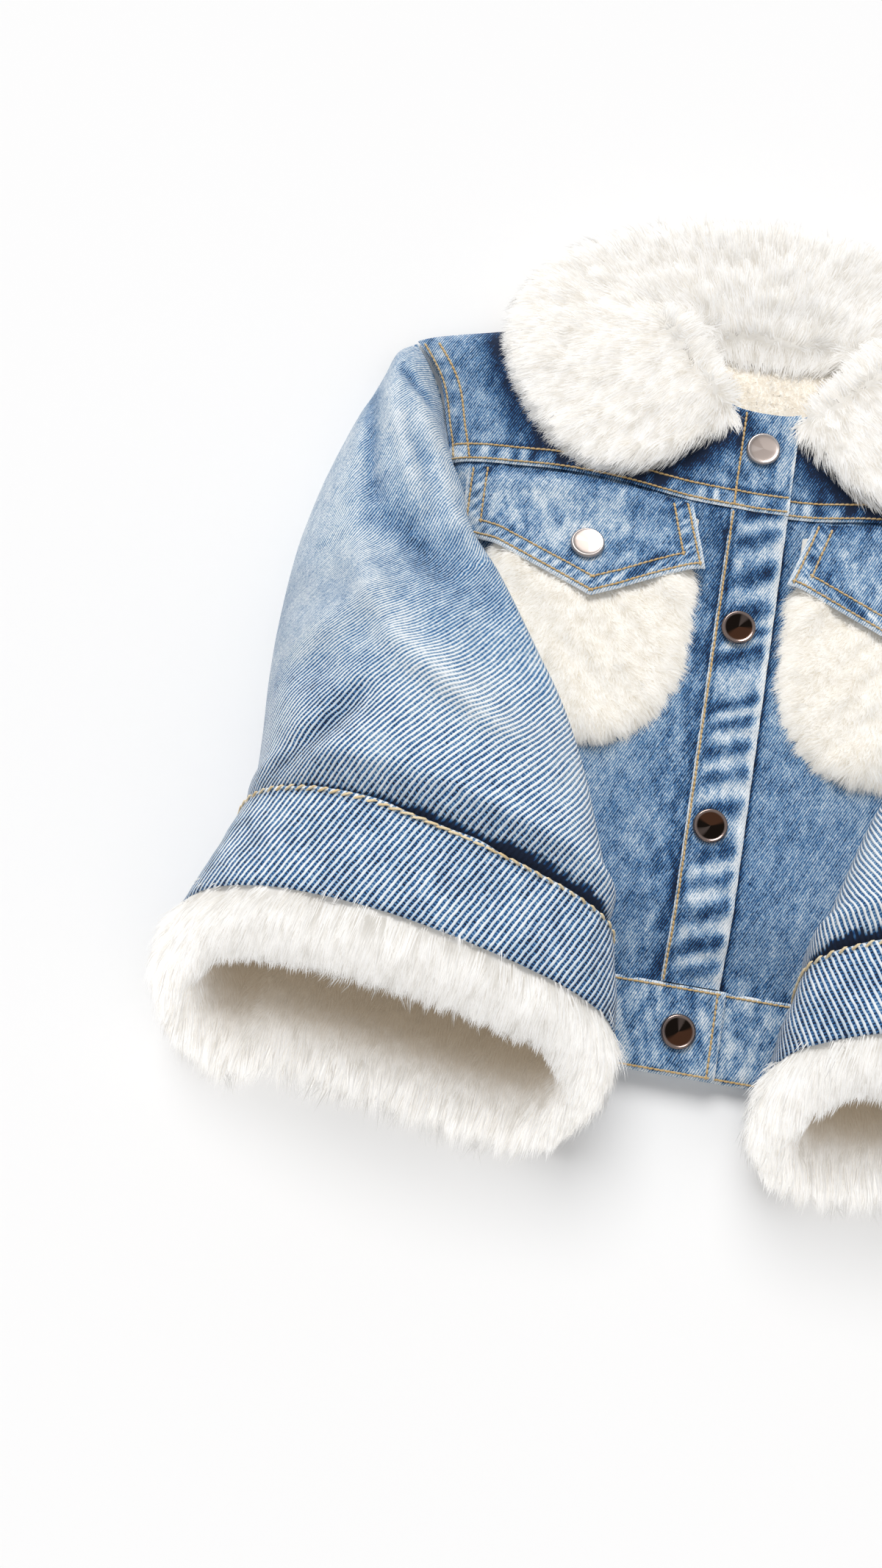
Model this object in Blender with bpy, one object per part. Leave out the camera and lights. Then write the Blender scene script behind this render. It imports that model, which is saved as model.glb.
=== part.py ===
"""A toddler's denim jacket lined with sherpa fleece, laid on its back: each sewn piece is one solid.

Metres, +Z up from the surface it lies on, +Y towards the neck, +X towards the wearer's left. While the
pieces are made the hem lies on y = 0; the empty that carries them brings the jacket's middle to x = y = 0.
Paired pieces are worked out for the wearer's right, where x is negative, and mirrored for the left.
"""

import math

import bmesh
import bpy
import numpy as np

# Cloth and seams.
CLOTH = 0.0015  # one layer of denim
BAND = 0.0027  # folded denim: hem band, placket and cuffs
FLAP = 0.0022  # two layers of denim pressed flat
SEAM = 0.0003  # between pieces that are sewn to each other
LIE = 0.0004  # between a piece and what it lies on

# Body, laid flat.
HEM_BAND = 0.0380  # height of the band round the hem
NECK_HALF = 0.0430  # half the width between the neck points
NECK_POINT_Y = 0.3380
FRONT_NECK_Y = 0.2925
BACK_NECK_Y = 0.3210
BACK_NECK_LEVEL = 0.0093  # just over the lining at the back neck
LEFT_LEAF_DOWN = -0.0285  # the left leaf climbs from here on to the edge of the right front
SHOULDER_HALF = 0.1595
SHOULDER_Y = 0.3080
LOFT = 0.0132  # what the two layers of fleece lift the fronts by
EDGE_ROLL = 0.0220  # how far in from an edge the fronts reach their full height
UNDERARM_Y = 0.1550  # the side seam ends here and the armhole starts
ARMHOLE_LOFT, HEM_LOFT, SHOULDER_LOFT = 0.36, 0.34, 0.25  # shares of the loft left at those edges
LOFT_SPLIT = 0.52  # share of the loft that the back's fleece takes, under that of the front
YOKE_END = 0.1350  # how far out the yoke seam runs
OVERLAP_RISE = 0.0034  # the right front lies this much higher where it laps over the left
WELT = 0.0011  # the yoke stands this proud of the panel along their seam
PLACKET_LEFT, PLACKET_RIGHT = -0.0100, 0.0150
UNDERLAP = 0.0120  # how far the left front runs under the right, past the middle
LAP_START, LAP_END = -0.0540, -0.0140  # between these the right front climbs on to the left
BAND_END = 0.0180  # right end of the hem band that laps over
BAND_RISE = 0.0040  # the front hem band stands this far off the one behind it
BAND_ROLL = 0.0060  # width of the round along its lower edge

# Patch pocket of fleece and its pointed flap, on the wearer's right.
POCKET_X, POCKET_HALF = -0.0660, 0.0440
POCKET_TOP, POCKET_BOTTOM = 0.2380, 0.1345
POCKET_ROUND = 0.0520  # height of the rounded foot
POCKET_SQUARE = 2.4  # how square the rounded foot is: 2 is an ellipse
POCKET_PILE = 0.0120
POCKET_RIM = 0.0100  # width over which the pile rounds down to the pocket's edge
FLAP_TOP_LEFT, FLAP_TOP_RIGHT = -0.1255, -0.0265
FLAP_FOOT_LEFT, FLAP_FOOT_RIGHT = -0.1240, -0.0178
FLAP_FOOT_LEFT_Y, FLAP_POINT_Y, FLAP_FOOT_RIGHT_Y = 0.2160, 0.1930, 0.2145
FLAP_POINT_AT = 0.55  # share of the flap's width

# Snap fasteners.
SNAP_RADIUS = 0.0074
SNAP_HEIGHT = 0.0022
SNAP_SIDES = 16
FRONT_SNAPS_Y = {"snap_neck": 0.2750, "snap_chest": 0.1925, "snap_waist": 0.1050, "snap_hem": 0.0185}
FLAP_SNAP = (-0.0700, 0.2165)

# Sleeve and cuff.
AROUND = 28  # points round a sleeve
SLEEVE_RINGS = 21
CREST_LEFT, CREST_RIGHT = 0.95, 0.56  # how square a section's shoulders are: less is fuller
FOOT_SQUARE = 2.5  # how soon a section's foot lies flat, in from its sides
LEFT_FOLDS = 0.85  # the folds of the left sleeve are this share of the right one's


def table(names, *rows):
    """Named columns of a short table, a row for each section."""
    return dict(zip(names.split(), np.array(rows, float).T))


SIDE = table(  # half the body's width at a height: side seam, underarm, then armhole
    "y half",
    (0.000, 0.1600),
    (0.038, 0.1610),
    (0.100, 0.1640),
    (0.150, 0.1665),
    (0.168, 0.1655),
    (0.178, 0.1550),
    (0.190, 0.1440),
    (0.208, 0.1355),
    (0.232, 0.1315),
    (0.252, 0.1345),
    (0.266, 0.1388),
    (0.288, 0.1460),
    (0.308, 0.1595),
)
YOKE_SEAM = table(
    "x y",
    (0.000, 0.2457),
    (0.026, 0.2470),
    (0.054, 0.2512),
    (0.087, 0.2525),
    (0.109, 0.2510),
    (0.135, 0.2495),
)
COLLAR = table(  # from the tip at centre front round to the middle of the back
    "s inner_x inner_y outer_x outer_y top",
    (0.00, -0.0130, 0.2880, -0.0165, 0.2820, 0.0270),
    (0.08, -0.0165, 0.2950, -0.0290, 0.2705, 0.0310),
    (0.20, -0.0215, 0.3035, -0.0500, 0.2570, 0.0340),
    (0.32, -0.0270, 0.3120, -0.0740, 0.2550, 0.0350),
    (0.44, -0.0325, 0.3200, -0.0960, 0.2680, 0.0350),
    (0.55, -0.0375, 0.3270, -0.1120, 0.2880, 0.0340),
    (0.65, -0.0405, 0.3320, -0.1195, 0.3080, 0.0320),
    (0.75, -0.0380, 0.3300, -0.1170, 0.3340, 0.0290),
    (0.84, -0.0300, 0.3235, -0.0960, 0.3590, 0.0270),
    (0.92, -0.0160, 0.3190, -0.0540, 0.3790, 0.0260),
    (1.00, 0.0000, 0.3180, 0.0000, 0.3860, 0.0260),
)
SLEEVE = table(  # both ends of each section and its crest; how far crest and foot lean; its bow in plan
    "s left_x left_y left_z right_x right_y right_z top lean sag bow",
    (0.00, -0.1608, 0.3062, 0.0042, -0.1378, 0.2535, 0.0042, 0.0076, 0.00, 0.00, 0.0042),
    (0.05, -0.1668, 0.2985, 0.0100, -0.1345, 0.2460, 0.0180, 0.0225, 0.00, 0.00, 0.0020),
    (0.12, -0.1712, 0.2830, 0.0130, -0.1280, 0.2340, 0.0270, 0.0330, 0.05, 0.05, 0.0005),
    (0.22, -0.1795, 0.2580, 0.0170, -0.1200, 0.2115, 0.0350, 0.0440, 0.10, 0.09, 0),
    (0.34, -0.1880, 0.2240, 0.0210, -0.1035, 0.1895, 0.0400, 0.0530, 0.15, 0.13, 0),
    (0.46, -0.1925, 0.1930, 0.0260, -0.0860, 0.1620, 0.0440, 0.0610, 0.22, 0.20, 0),
    (0.58, -0.1937, 0.1610, 0.0300, -0.0705, 0.1365, 0.0470, 0.0690, 0.30, 0.27, 0),
    (0.70, -0.1928, 0.1330, 0.0340, -0.0590, 0.1110, 0.0500, 0.0770, 0.38, 0.34, 0),
    (0.82, -0.1905, 0.1060, 0.0360, -0.0508, 0.0863, 0.0530, 0.0855, 0.44, 0.40, 0),
    (0.93, -0.1900, 0.0860, 0.0380, -0.0435, 0.0620, 0.0550, 0.0910, 0.48, 0.43, 0),
    (1.00, -0.1922, 0.0738, 0.0415, -0.0380, 0.0440, 0.0550, 0.0865, 0.50, 0.45, 0),
)
CUFF = table(  # the same for the cuff: 0 at its seam, 1 at its folded edge, beyond that the fleece alone
    "t left_x left_y left_z right_x right_y right_z top lean sag bow",
    (-1.80, -0.1880, 0.1530, 0.0340, -0.0650, 0.1180, 0.0500, 0.0680, 0.40, 0.36, 0),
    (-0.90, -0.1880, 0.1130, 0.0380, -0.0500, 0.0800, 0.0530, 0.0780, 0.46, 0.41, 0),
    (0.00, -0.1924, 0.0736, 0.0415, -0.0380, 0.0438, 0.0550, 0.0865, 0.50, 0.45, 0),
    (0.35, -0.1980, 0.0570, 0.0430, -0.0345, 0.0285, 0.0530, 0.0895, 0.50, 0.46, 0),
    (1.00, -0.2090, 0.0290, 0.0450, -0.0310, 0.0020, 0.0470, 0.0945, 0.50, 0.48, 0),
    (1.70, -0.2200, -0.0020, 0.0420, -0.0275, -0.0200, 0.0420, 0.0900, 0.48, 0.85, 0),
)
FLEECE_LIP = table(  # how the fleece runs inside the cuff, rolls over its edge and turns back in
    "t inset under",
    (-1.75, 0.0075, 0.0030),
    (-0.90, 0.0060, 0.0030),
    (-0.10, 0.0045, 0.0020),
    (0.45, 0.0033, 0.0012),
    (1.02, 0.0033, 0.0010),
    (1.12, -0.0010, 0.0000),
    (1.36, -0.0005, 0.0005),
    (1.56, 0.0035, 0.0000),
    (1.66, 0.0090, 0.0000),
    (1.62, 0.0150, 0.0000),
    (1.42, 0.0200, 0.0020),
    (1.05, 0.0225, 0.0030),
    (0.50, 0.0230, 0.0030),
    (-0.30, 0.0225, 0.0030),
    (-1.10, 0.0220, 0.0030),
    (-1.75, 0.0215, 0.0030),
)
SNAP_CAP = table(  # shares of its radius and height, from its foot over the rim into the dish
    "radius height",
    (0.93, 0.00),
    (1.00, 0.35),
    (0.97, 0.80),
    (0.86, 1.00),
    (0.74, 0.82),
    (0.40, 0.74),
)
FOLDS = (  # name, half width, rise, then its course in plan down the right sleeve
    ("cap trough", 0.006, -0.0040, ((-0.164, 0.290), (-0.155, 0.276), (-0.146, 0.262))),
    ("long trough", 0.009, -0.0060, ((-0.169, 0.265), (-0.164, 0.231), (-0.148, 0.199), (-0.101, 0.169))),
    ("inner ridge", 0.011, 0.0040, ((-0.155, 0.255), (-0.145, 0.234), (-0.126, 0.205), (-0.104, 0.185))),
    ("outer ridge", 0.011, 0.0055, ((-0.165, 0.206), (-0.153, 0.177), (-0.137, 0.154), (-0.108, 0.133))),
    ("elbow ridge", 0.010, 0.0045, ((-0.180, 0.143), (-0.162, 0.162), (-0.154, 0.173))),
    ("elbow crease", 0.009, -0.0065, ((-0.186, 0.088), (-0.169, 0.105), (-0.158, 0.112), (-0.148, 0.122))),
    ("cuff ridge", 0.011, 0.0045, ((-0.140, 0.146), (-0.113, 0.132), (-0.091, 0.120), (-0.072, 0.110))),
)


def read(values, column, at, key="s"):
    """A column of a table between its rows, on a smooth curve through them."""
    knots, heights = values[key], values[column]
    slopes = np.gradient(heights, knots)
    at = np.clip(at, knots[0], knots[-1])
    row = np.clip(np.searchsorted(knots, at, side="right") - 1, 0, len(knots) - 2)
    span = knots[row + 1] - knots[row]
    f = (at - knots[row]) / span
    rise = (3 - 2 * f) * f**2
    return (
        (1 - rise) * heights[row]
        + rise * heights[row + 1]
        + f * (1 - f) * span * ((1 - f) * slopes[row] - f * slopes[row + 1])
    )


def ease(value):
    """0 to 1 with a soft start and end."""
    value = np.clip(value, 0, 1)
    return value * value * (3 - 2 * value)


def mix(a, b, share):
    return a + (b - a) * share


def rolled(distance, reach, foot=0.0):
    """Height share of a cushioned edge: a quarter round from the foot up to 1."""
    share = np.clip(distance / reach, 0, 1)
    return foot + (1 - foot) * np.sqrt(np.maximum(1 - (1 - share) ** 2, 0))


# ---- The plan and the lie of the fronts -------------------------------------------------------------


def shoulder_y(x):
    slope = (NECK_POINT_Y - SHOULDER_Y) / (SHOULDER_HALF - NECK_HALF)
    return NECK_POINT_Y - slope * (np.abs(x) - NECK_HALF)


def neck_y(x, middle):
    return middle + (NECK_POINT_Y - middle) * (np.minimum(np.abs(x), NECK_HALF) / NECK_HALF) ** 3


def front_edge_y(x):
    return np.where(np.abs(x) < NECK_HALF, neck_y(x, FRONT_NECK_Y), shoulder_y(x))


def back_edge_y(x):
    return np.where(np.abs(x) < NECK_HALF, neck_y(x, BACK_NECK_Y), shoulder_y(x))


def half_width(y):
    return read(SIDE, "half", y, "y")


def yoke_y(x):
    return read(YOKE_SEAM, "y", np.abs(x), "x")


def loft(x, y):
    """Share of the fleece's height under the fronts."""
    armhole = ARMHOLE_LOFT * ease((y - UNDERARM_Y) / 0.03)
    sides = rolled(half_width(y) - np.abs(x), EDGE_ROLL, 0)
    sides = armhole + (1 - armhole) * sides
    hem = mix(HEM_LOFT, 1, ease((y - HEM_BAND + 0.008) / 0.045))
    beside_neck = ease((np.abs(x) - NECK_HALF + 0.02) / 0.02)
    shoulder = mix(1, rolled(shoulder_y(x) - y, EDGE_ROLL, SHOULDER_LOFT), beside_neck)
    return sides * hem * shoulder


def front_under(x, y, laps=False):
    """Height of the inner face of a front; the lapping one rises over the other's edge."""
    return CLOTH + SEAM + LOFT * loft(x, y) + np.where(laps, overlap_rise(x), 0)


def overlap_rise(x):
    return OVERLAP_RISE * ease((x - LAP_START) / (LAP_END - LAP_START))


def welt(x, y):
    return WELT * (1 - ease((y - yoke_y(x)) / 0.013))


def front_normal(x, y, laps=False):
    """Direction a front's thickness is laid in: square to it across, so that cross seams stay shut."""
    step = 0.001
    tilt = (front_under(x + step, y, laps) - front_under(x - step, y, laps)) / (2 * step)
    normal = np.stack([-tilt, np.zeros_like(tilt), np.ones_like(tilt)], -1)
    return normal / np.linalg.norm(normal, axis=-1, keepdims=True)


def on_front(x, y, out, laps=False):
    """Points of a front's inner face, moved out along its normal."""
    x, y = np.broadcast_arrays(np.asarray(x, float), np.asarray(y, float))
    base = np.stack([x, y, front_under(x, y, laps)], -1)
    return base + front_normal(x, y, laps) * np.asarray(out)[..., None]


def crowded(count, power=1.6):
    """0 to 1, closer together near 0."""
    return np.linspace(0, 1, count) ** power


# ---- Meshes ------------------------------------------------------------------------------------------


def add_object(name, verts, faces, material, parent, mirror=1):
    verts = np.array(verts, float) * (mirror, 1, 1)
    mesh = bpy.data.meshes.new(name)
    mesh.from_pydata([tuple(v) for v in verts], [], [tuple(int(i) for i in f) for f in faces])
    build = bmesh.new()
    build.from_mesh(mesh)
    bmesh.ops.recalc_face_normals(build, faces=build.faces)
    bmesh.ops.triangulate(build, faces=build.faces)
    build.to_mesh(mesh)
    build.free()
    mesh.materials.append(material)
    mesh.shade_smooth()
    mesh.set_sharp_from_angle(angle=math.radians(40))
    obj = bpy.data.objects.new(name, mesh)
    bpy.context.scene.collection.objects.link(obj)
    obj.parent = parent
    return obj


def add_sheet(name, outer, inner, *rest, **more):
    """A closed wall between two grids of points, with its four edges filled."""
    rows, cols = outer.shape[:2]
    index = np.arange(rows * cols).reshape(rows, cols)
    quads = [
        (index[i, j], index[i, j + 1], index[i + 1, j + 1], index[i + 1, j])
        for i in range(rows - 1)
        for j in range(cols - 1)
    ]
    under = rows * cols
    faces = quads + [tuple(under + k for k in reversed(q)) for q in quads]
    rim = [*index[0, :], *index[1:, -1], *index[-1, -2::-1], *index[-2:0:-1, 0]]
    faces += [(b, a, under + a, under + b) for a, b in zip(rim, rim[1:] + rim[:1])]
    points = np.concatenate([outer.reshape(-1, 3), inner.reshape(-1, 3)])
    return add_object(name, points, faces, *rest, **more)


def add_tube(name, rings, *rest, **more):
    """A closed skin through a loop of rings, the last joined to the first: a wall round a hollow."""
    count, around = rings.shape[:2]
    faces = [
        (
            i * around + j,
            i * around + (j + 1) % around,
            (i + 1) % count * around + (j + 1) % around,
            (i + 1) % count * around + j,
        )
        for i in range(count)
        for j in range(around)
    ]
    return add_object(name, rings.reshape(-1, 3), faces, *rest, **more)


def finish(name, colour, roughness, metallic=0.0):
    material = bpy.data.materials.new(name)
    material.use_nodes = True
    shader = material.node_tree.nodes["Principled BSDF"]
    shader.inputs["Base Color"].default_value = (*colour, 1)
    shader.inputs["Roughness"].default_value = roughness
    shader.inputs["Metallic"].default_value = metallic
    material.diffuse_color = (*colour, 1)
    return material


# ---- Back, lining and fronts -------------------------------------------------------------------------


def make_back(denim, root):
    """Back panel: flat on the surface, from the hem band to the shoulders and back neck."""
    across = np.linspace(-1, 1, 13)[None, :]
    share = np.linspace(0, 1, 13)[:, None]
    side = half_width(mix(HEM_BAND + SEAM, SHOULDER_Y, share))
    x = side * across
    y = mix(HEM_BAND + SEAM, back_edge_y(x), share)
    upper = np.stack([x, y, np.full_like(x, CLOTH)], -1)
    add_sheet("back_panel", upper, upper - (0, 0, CLOTH), denim, root)
    x = half_width(0) * np.linspace(-1, 1, 5)[None, :] * np.ones((2, 1))
    y = np.array([[0.0], [HEM_BAND]]) * np.ones_like(x)
    upper = np.stack([x, y, np.full_like(x, BAND)], -1)
    add_sheet("hem_band_back", upper, upper - (0, 0, BAND), denim, root)


def lining_split(x, y):
    """Height where the back's fleece meets that of the fronts."""
    return mix(CLOTH + SEAM, front_under(x, y), LOFT_SPLIT)


def make_lining(cream, root):
    """Fleece on the inside of the back, seen in the neck, and on the inside of each front."""
    across = np.linspace(-1, 1, 15)[None, :]
    share = np.linspace(0, 1, 13)[:, None]
    side = half_width(mix(HEM_BAND, SHOULDER_Y, share)) - 0.010
    x = side * across
    y = mix(HEM_BAND + 0.006, back_edge_y(x) - mix(0.001, 0.008, ease(np.abs(x) / NECK_HALF - 0.6)), share)
    top = np.stack([x, y, lining_split(x, y)], -1)
    foot = np.stack([x, y, np.full_like(x, CLOTH + SEAM)], -1)
    add_sheet("lining_back", top, foot, cream, root)
    for name, mirror, inner in (("right", 1, -0.0155), ("left", -1, 0.0110)):
        share = np.linspace(0, 1, 12)[:, None]
        across = np.linspace(0, 1, 10)[None, :]
        side = half_width(mix(HEM_BAND, SHOULDER_Y, share)) - 0.016
        x = mix(-side, inner, across)
        y = mix(HEM_BAND + 0.010, front_edge_y(x) - 0.014, share)
        top = np.stack([x, y, front_under(x, y) - 2 * LIE], -1)
        foot = np.stack([x, y, lining_split(x, y) + 2 * LIE], -1)
        add_sheet(f"lining_front_{name}", top, foot, cream, root, mirror=mirror)


def add_front(name, x, y, wall, laps, denim, root, mirror, raised=0):
    inner = on_front(x, y, np.zeros_like(x) + raised, laps)
    outer = on_front(x, y, np.zeros_like(x) + raised + wall, laps)
    add_sheet(name, outer, inner, denim, root, mirror=mirror)


def make_fronts(denim, root):
    """Lower panel, yoke with a raised welt along its seam, and the hem band, for each front."""
    for name, mirror, laps in (("right", 1, True), ("left", -1, False)):
        edge = PLACKET_LEFT - SEAM if laps else UNDERLAP
        share = np.linspace(0, 1, 15)[:, None]
        seam_end = yoke_y(YOKE_END)
        side = half_width(mix(HEM_BAND + SEAM, seam_end, share))
        x = mix(-side, edge, crowded(13, 1.5)[None, :])
        y = mix(HEM_BAND + SEAM, yoke_y(x) - SEAM / 2, share)
        add_front(f"front_{name}_panel", x, y, CLOTH, laps, denim, root, mirror)

        edge = PLACKET_RIGHT if laps else UNDERLAP
        share = np.linspace(0, 1, 7)[:, None]
        side = half_width(mix(seam_end, SHOULDER_Y, share))
        x = mix(-side, edge, crowded(16, 1.1)[None, :])
        y = mix(yoke_y(x) + SEAM / 2, front_edge_y(x), share)
        add_front(f"front_{name}_yoke", x, y, CLOTH, laps, denim, root, mirror, welt(x, y))

        edge = BAND_END if laps else UNDERLAP
        side = half_width(HEM_BAND / 2)
        x = mix(-side, edge, crowded(15, 1.4)[None, :]) * np.ones((6, 1))
        y = mix(0, HEM_BAND, np.linspace(0, 1, 6)[:, None]) * np.ones_like(x)
        roll = rolled(y, BAND_ROLL, 0.35)
        rise = overlap_rise(x) if laps else 0
        under = BAND + SEAM + BAND_RISE * rolled(side + x, EDGE_ROLL) * roll + rise
        outer = np.stack([x, y, under + BAND * mix(0.8, 1, roll)], -1)
        inner = np.stack([x, y, under], -1)
        add_sheet(f"hem_band_{name}", outer, inner, denim, root, mirror=mirror)
    x = mix(PLACKET_LEFT, PLACKET_RIGHT, np.linspace(0, 1, 5)[None, :])
    share = np.linspace(0, 1, 15)[:, None]
    y = mix(HEM_BAND + SEAM, yoke_y(x) - SEAM / 2, share)
    x = x * np.ones_like(y)
    add_front("placket_right", x, y, BAND, True, denim, root, 1)


# ---- Pockets and flaps -------------------------------------------------------------------------------


def pocket_height(x, y):
    """Height of the pocket's pile over its panel: rounded at the rim, pressed down under the flap."""
    pressed = mix(1, 0.30, ease((y - 0.192) / 0.046))
    return POCKET_PILE * pressed * np.ones_like(x)


def make_pockets(fleece, denim, root):
    for name, mirror, laps in (("right", 1, True), ("left", -1, False)):
        share = np.linspace(0, 1, 12)[:, None]
        across = np.linspace(-1, 1, 11)[None, :]
        across = np.sign(across) * np.abs(across) ** 0.8
        y = mix(POCKET_BOTTOM, POCKET_TOP, share**1.25)
        drop = np.clip((POCKET_BOTTOM + POCKET_ROUND - y) / POCKET_ROUND, 0, 0.985)
        half = POCKET_HALF * (1 - drop**POCKET_SQUARE) ** (1 / POCKET_SQUARE)
        x = POCKET_X + half * across
        y = y * np.ones_like(x)
        rim = rolled(half - np.abs(x - POCKET_X), POCKET_RIM, 0.30)
        rim = np.minimum(rim, rolled(y - POCKET_BOTTOM, POCKET_RIM, 0.30))
        under = np.full_like(x, CLOTH + 2 * LIE)
        outer = on_front(x, y, under + pocket_height(x, y) * rim, laps)
        add_sheet(f"pocket_{name}", outer, on_front(x, y, under, laps), fleece, root, mirror=mirror)
        across = np.linspace(0, 1, 13)[None, :]
        share = np.linspace(0, 1, 7)[:, None]
        top = mix(FLAP_TOP_LEFT, FLAP_TOP_RIGHT, across)
        x = mix(top, mix(FLAP_FOOT_LEFT, FLAP_FOOT_RIGHT, across), share)
        to_point = mix(FLAP_FOOT_LEFT_Y, FLAP_POINT_Y, across / FLAP_POINT_AT)
        from_point = mix(FLAP_POINT_Y, FLAP_FOOT_RIGHT_Y, (across - FLAP_POINT_AT) / (1 - FLAP_POINT_AT))
        foot = np.where(across < FLAP_POINT_AT, to_point, from_point)
        y = mix(yoke_y(x) - 0.003, foot, share)
        out = flap_height(x, y)
        outer = on_front(x, y, out + FLAP, laps)
        add_sheet(f"flap_{name}", outer, on_front(x, y, out, laps), denim, root, mirror=mirror)


def flap_height(x, y):
    """How far the flap's inner face stands off the panel's: over the pile, down to the cloth beside it."""
    over = ease((POCKET_HALF + 0.013 - np.abs(x - POCKET_X)) / 0.016)
    seated = mix(0.25, 1, ease((yoke_y(x) - y) / 0.012))
    return CLOTH + 2 * LIE + (pocket_height(x, y) + 2 * LIE) * over * seated


# ---- Collar ------------------------------------------------------------------------------------------


def collar_rest(x, y, on_right, station):
    """What the collar lies on: the yokes, then the lining at the back neck, then the surface behind."""
    over_lap = OVERLAP_RISE * ease((x - LEFT_LEAF_DOWN) / 0.012)
    lap = np.where(on_right, overlap_rise(x), over_lap)
    level = front_under(x, np.minimum(y, front_edge_y(x))) + lap + CLOTH + welt(x, y) + 2 * LIE
    level = mix(level, BACK_NECK_LEVEL, ease((0.036 - np.abs(x)) / 0.010) * (station > 0.7))
    return mix(level, 0, ease((y - back_edge_y(x) - 0.005) / 0.016))


def make_collar(fleece, root):
    """Turned-down collar of long pile: two round leaves on the yokes, one band behind the neck."""
    stations = np.linspace(0, 1, 16)
    right = np.concatenate([stations, stations[-2::-1]])[:, None]
    mirror = np.concatenate([np.ones(16), -np.ones(15)])[:, None]
    across = np.array([0, 0.05, 0.14, 0.30, 0.50, 0.70, 0.86, 0.95, 1.0])[None, :]
    x = mix(read(COLLAR, "inner_x", right), read(COLLAR, "outer_x", right), across)
    y = mix(read(COLLAR, "inner_y", right), read(COLLAR, "outer_y", right), across)
    foot = collar_rest(x, y, mirror > 0, right)
    crest = read(COLLAR, "top", right)
    width = np.hypot(
        read(COLLAR, "inner_x", right) - read(COLLAR, "outer_x", right),
        read(COLLAR, "inner_y", right) - read(COLLAR, "outer_y", right),
    )
    near = np.minimum(across, 1 - across) * width
    rim = rolled(near, 0.014, 0.32) * rolled(right, 0.12, 0.5)
    behind = ease((right - 0.62) / 0.3)
    lean = mix(1, mix(0.45, 1, ease(across / 0.45)), behind)
    top = foot + np.maximum((crest - foot) * rim * lean, 0.004)
    outer = np.stack([x * mirror, y, top], -1)
    inner = np.stack([x * mirror, y, foot], -1)
    add_sheet("collar", outer, inner, fleece, root)


# ---- Sleeves and cuffs -------------------------------------------------------------------------------


def rest_height(x, y):
    """Smooth cover over what a sleeve lies on: surface, body, pocket and flap."""
    side = np.maximum(half_width(y), np.maximum(half_width(y - 0.014), half_width(y + 0.014)))
    inside = ease((side + 0.021 + x) / 0.019) * ease((y + 0.021) / 0.019)
    level = mix(0.0108, 0.0178, ease((y - 0.012) / 0.045))
    pocket = ease((POCKET_HALF + 0.022 - np.abs(x - POCKET_X)) / 0.016) * ease((y - 0.112) / 0.018)
    flap = ease((x + 0.142) / 0.014) * ease((y - 0.185) / 0.014) * ease((0.262 - y) / 0.014)
    return level * inside + 0.0128 * pocket + 0.0030 * flap


def fold_rise(x, y, folds):
    """Ridges and troughs laid down the sleeve."""
    rise = np.zeros_like(x)
    for _, width, height, course in folds:
        course = np.array(course)
        nearest = np.full_like(x, 1.0)
        along = np.zeros_like(x)
        pieces = len(course) - 1
        for k in range(pieces):
            a, b = course[k], course[k + 1]
            f = ((x - a[0]) * (b - a)[0] + (y - a[1]) * (b - a)[1]) / ((b - a) @ (b - a))
            f = np.clip(f, 0, 1)
            gap = np.hypot(x - mix(a[0], b[0], f), y - mix(a[1], b[1], f))
            along = np.where(gap < nearest, (k + f) / pieces, along)
            nearest = np.minimum(nearest, gap)
        ends = mix(0.45, 1, np.sin(np.pi * along))
        rise += height * ends * np.exp(-((nearest / width) ** 2))
    return rise


def section(values, at, key, inset, under=0, folds=()):
    """Rings of a tube: domed above, flat below on what carries it, leaning back from foot to crest."""
    at, inset = np.asarray(at, float)[:, None], np.asarray(inset, float)[:, None]
    left = np.stack([read(values, f"left_{c}", at, key) for c in "xyz"], -1)
    right = np.stack([read(values, f"right_{c}", at, key) for c in "xyz"], -1)
    along = (right - left) * (1, 1, 0)
    along = along / np.linalg.norm(along, axis=-1, keepdims=True)
    back = np.stack([-along[..., 1], along[..., 0], 0 * along[..., 0]], -1)
    left = left + along * inset[..., None]
    right = right - along * inset[..., None]
    angle = 2 * np.pi * (np.arange(AROUND) + 0.5)[None, :] / AROUND
    across = (1 - np.cos(angle)) / 2
    height = np.abs(np.sin(angle))
    bow = back * (read(values, "bow", at, key) * height**2)[..., None]
    plan = mix(left, right, across[..., None]) + bow
    middle = plan[..., 2]
    flat = 1 - (1 - height) ** FOOT_SQUARE
    top = read(values, "top", at, key) - inset
    rise = (top - middle) * height ** mix(CREST_LEFT, CREST_RIGHT, across)
    crest = plan + back * (read(values, "lean", at, key) * rise)[..., None]
    crest[..., 2] = middle + rise + fold_rise(crest[..., 0], crest[..., 1], folds) * np.sqrt(height)
    drop = middle - rest_height(plan[..., 0], plan[..., 1]) - inset
    foot = plan - back * (read(values, "sag", at, key) * drop * flat)[..., None]
    low = np.maximum(rest_height(foot[..., 0], foot[..., 1]), 0) + inset + np.reshape(under, (-1, 1))
    foot[..., 2] = middle - np.maximum(middle - low, 0.0006) * flat
    return np.where((np.sin(angle) > 0)[..., None], crest, foot)


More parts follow.
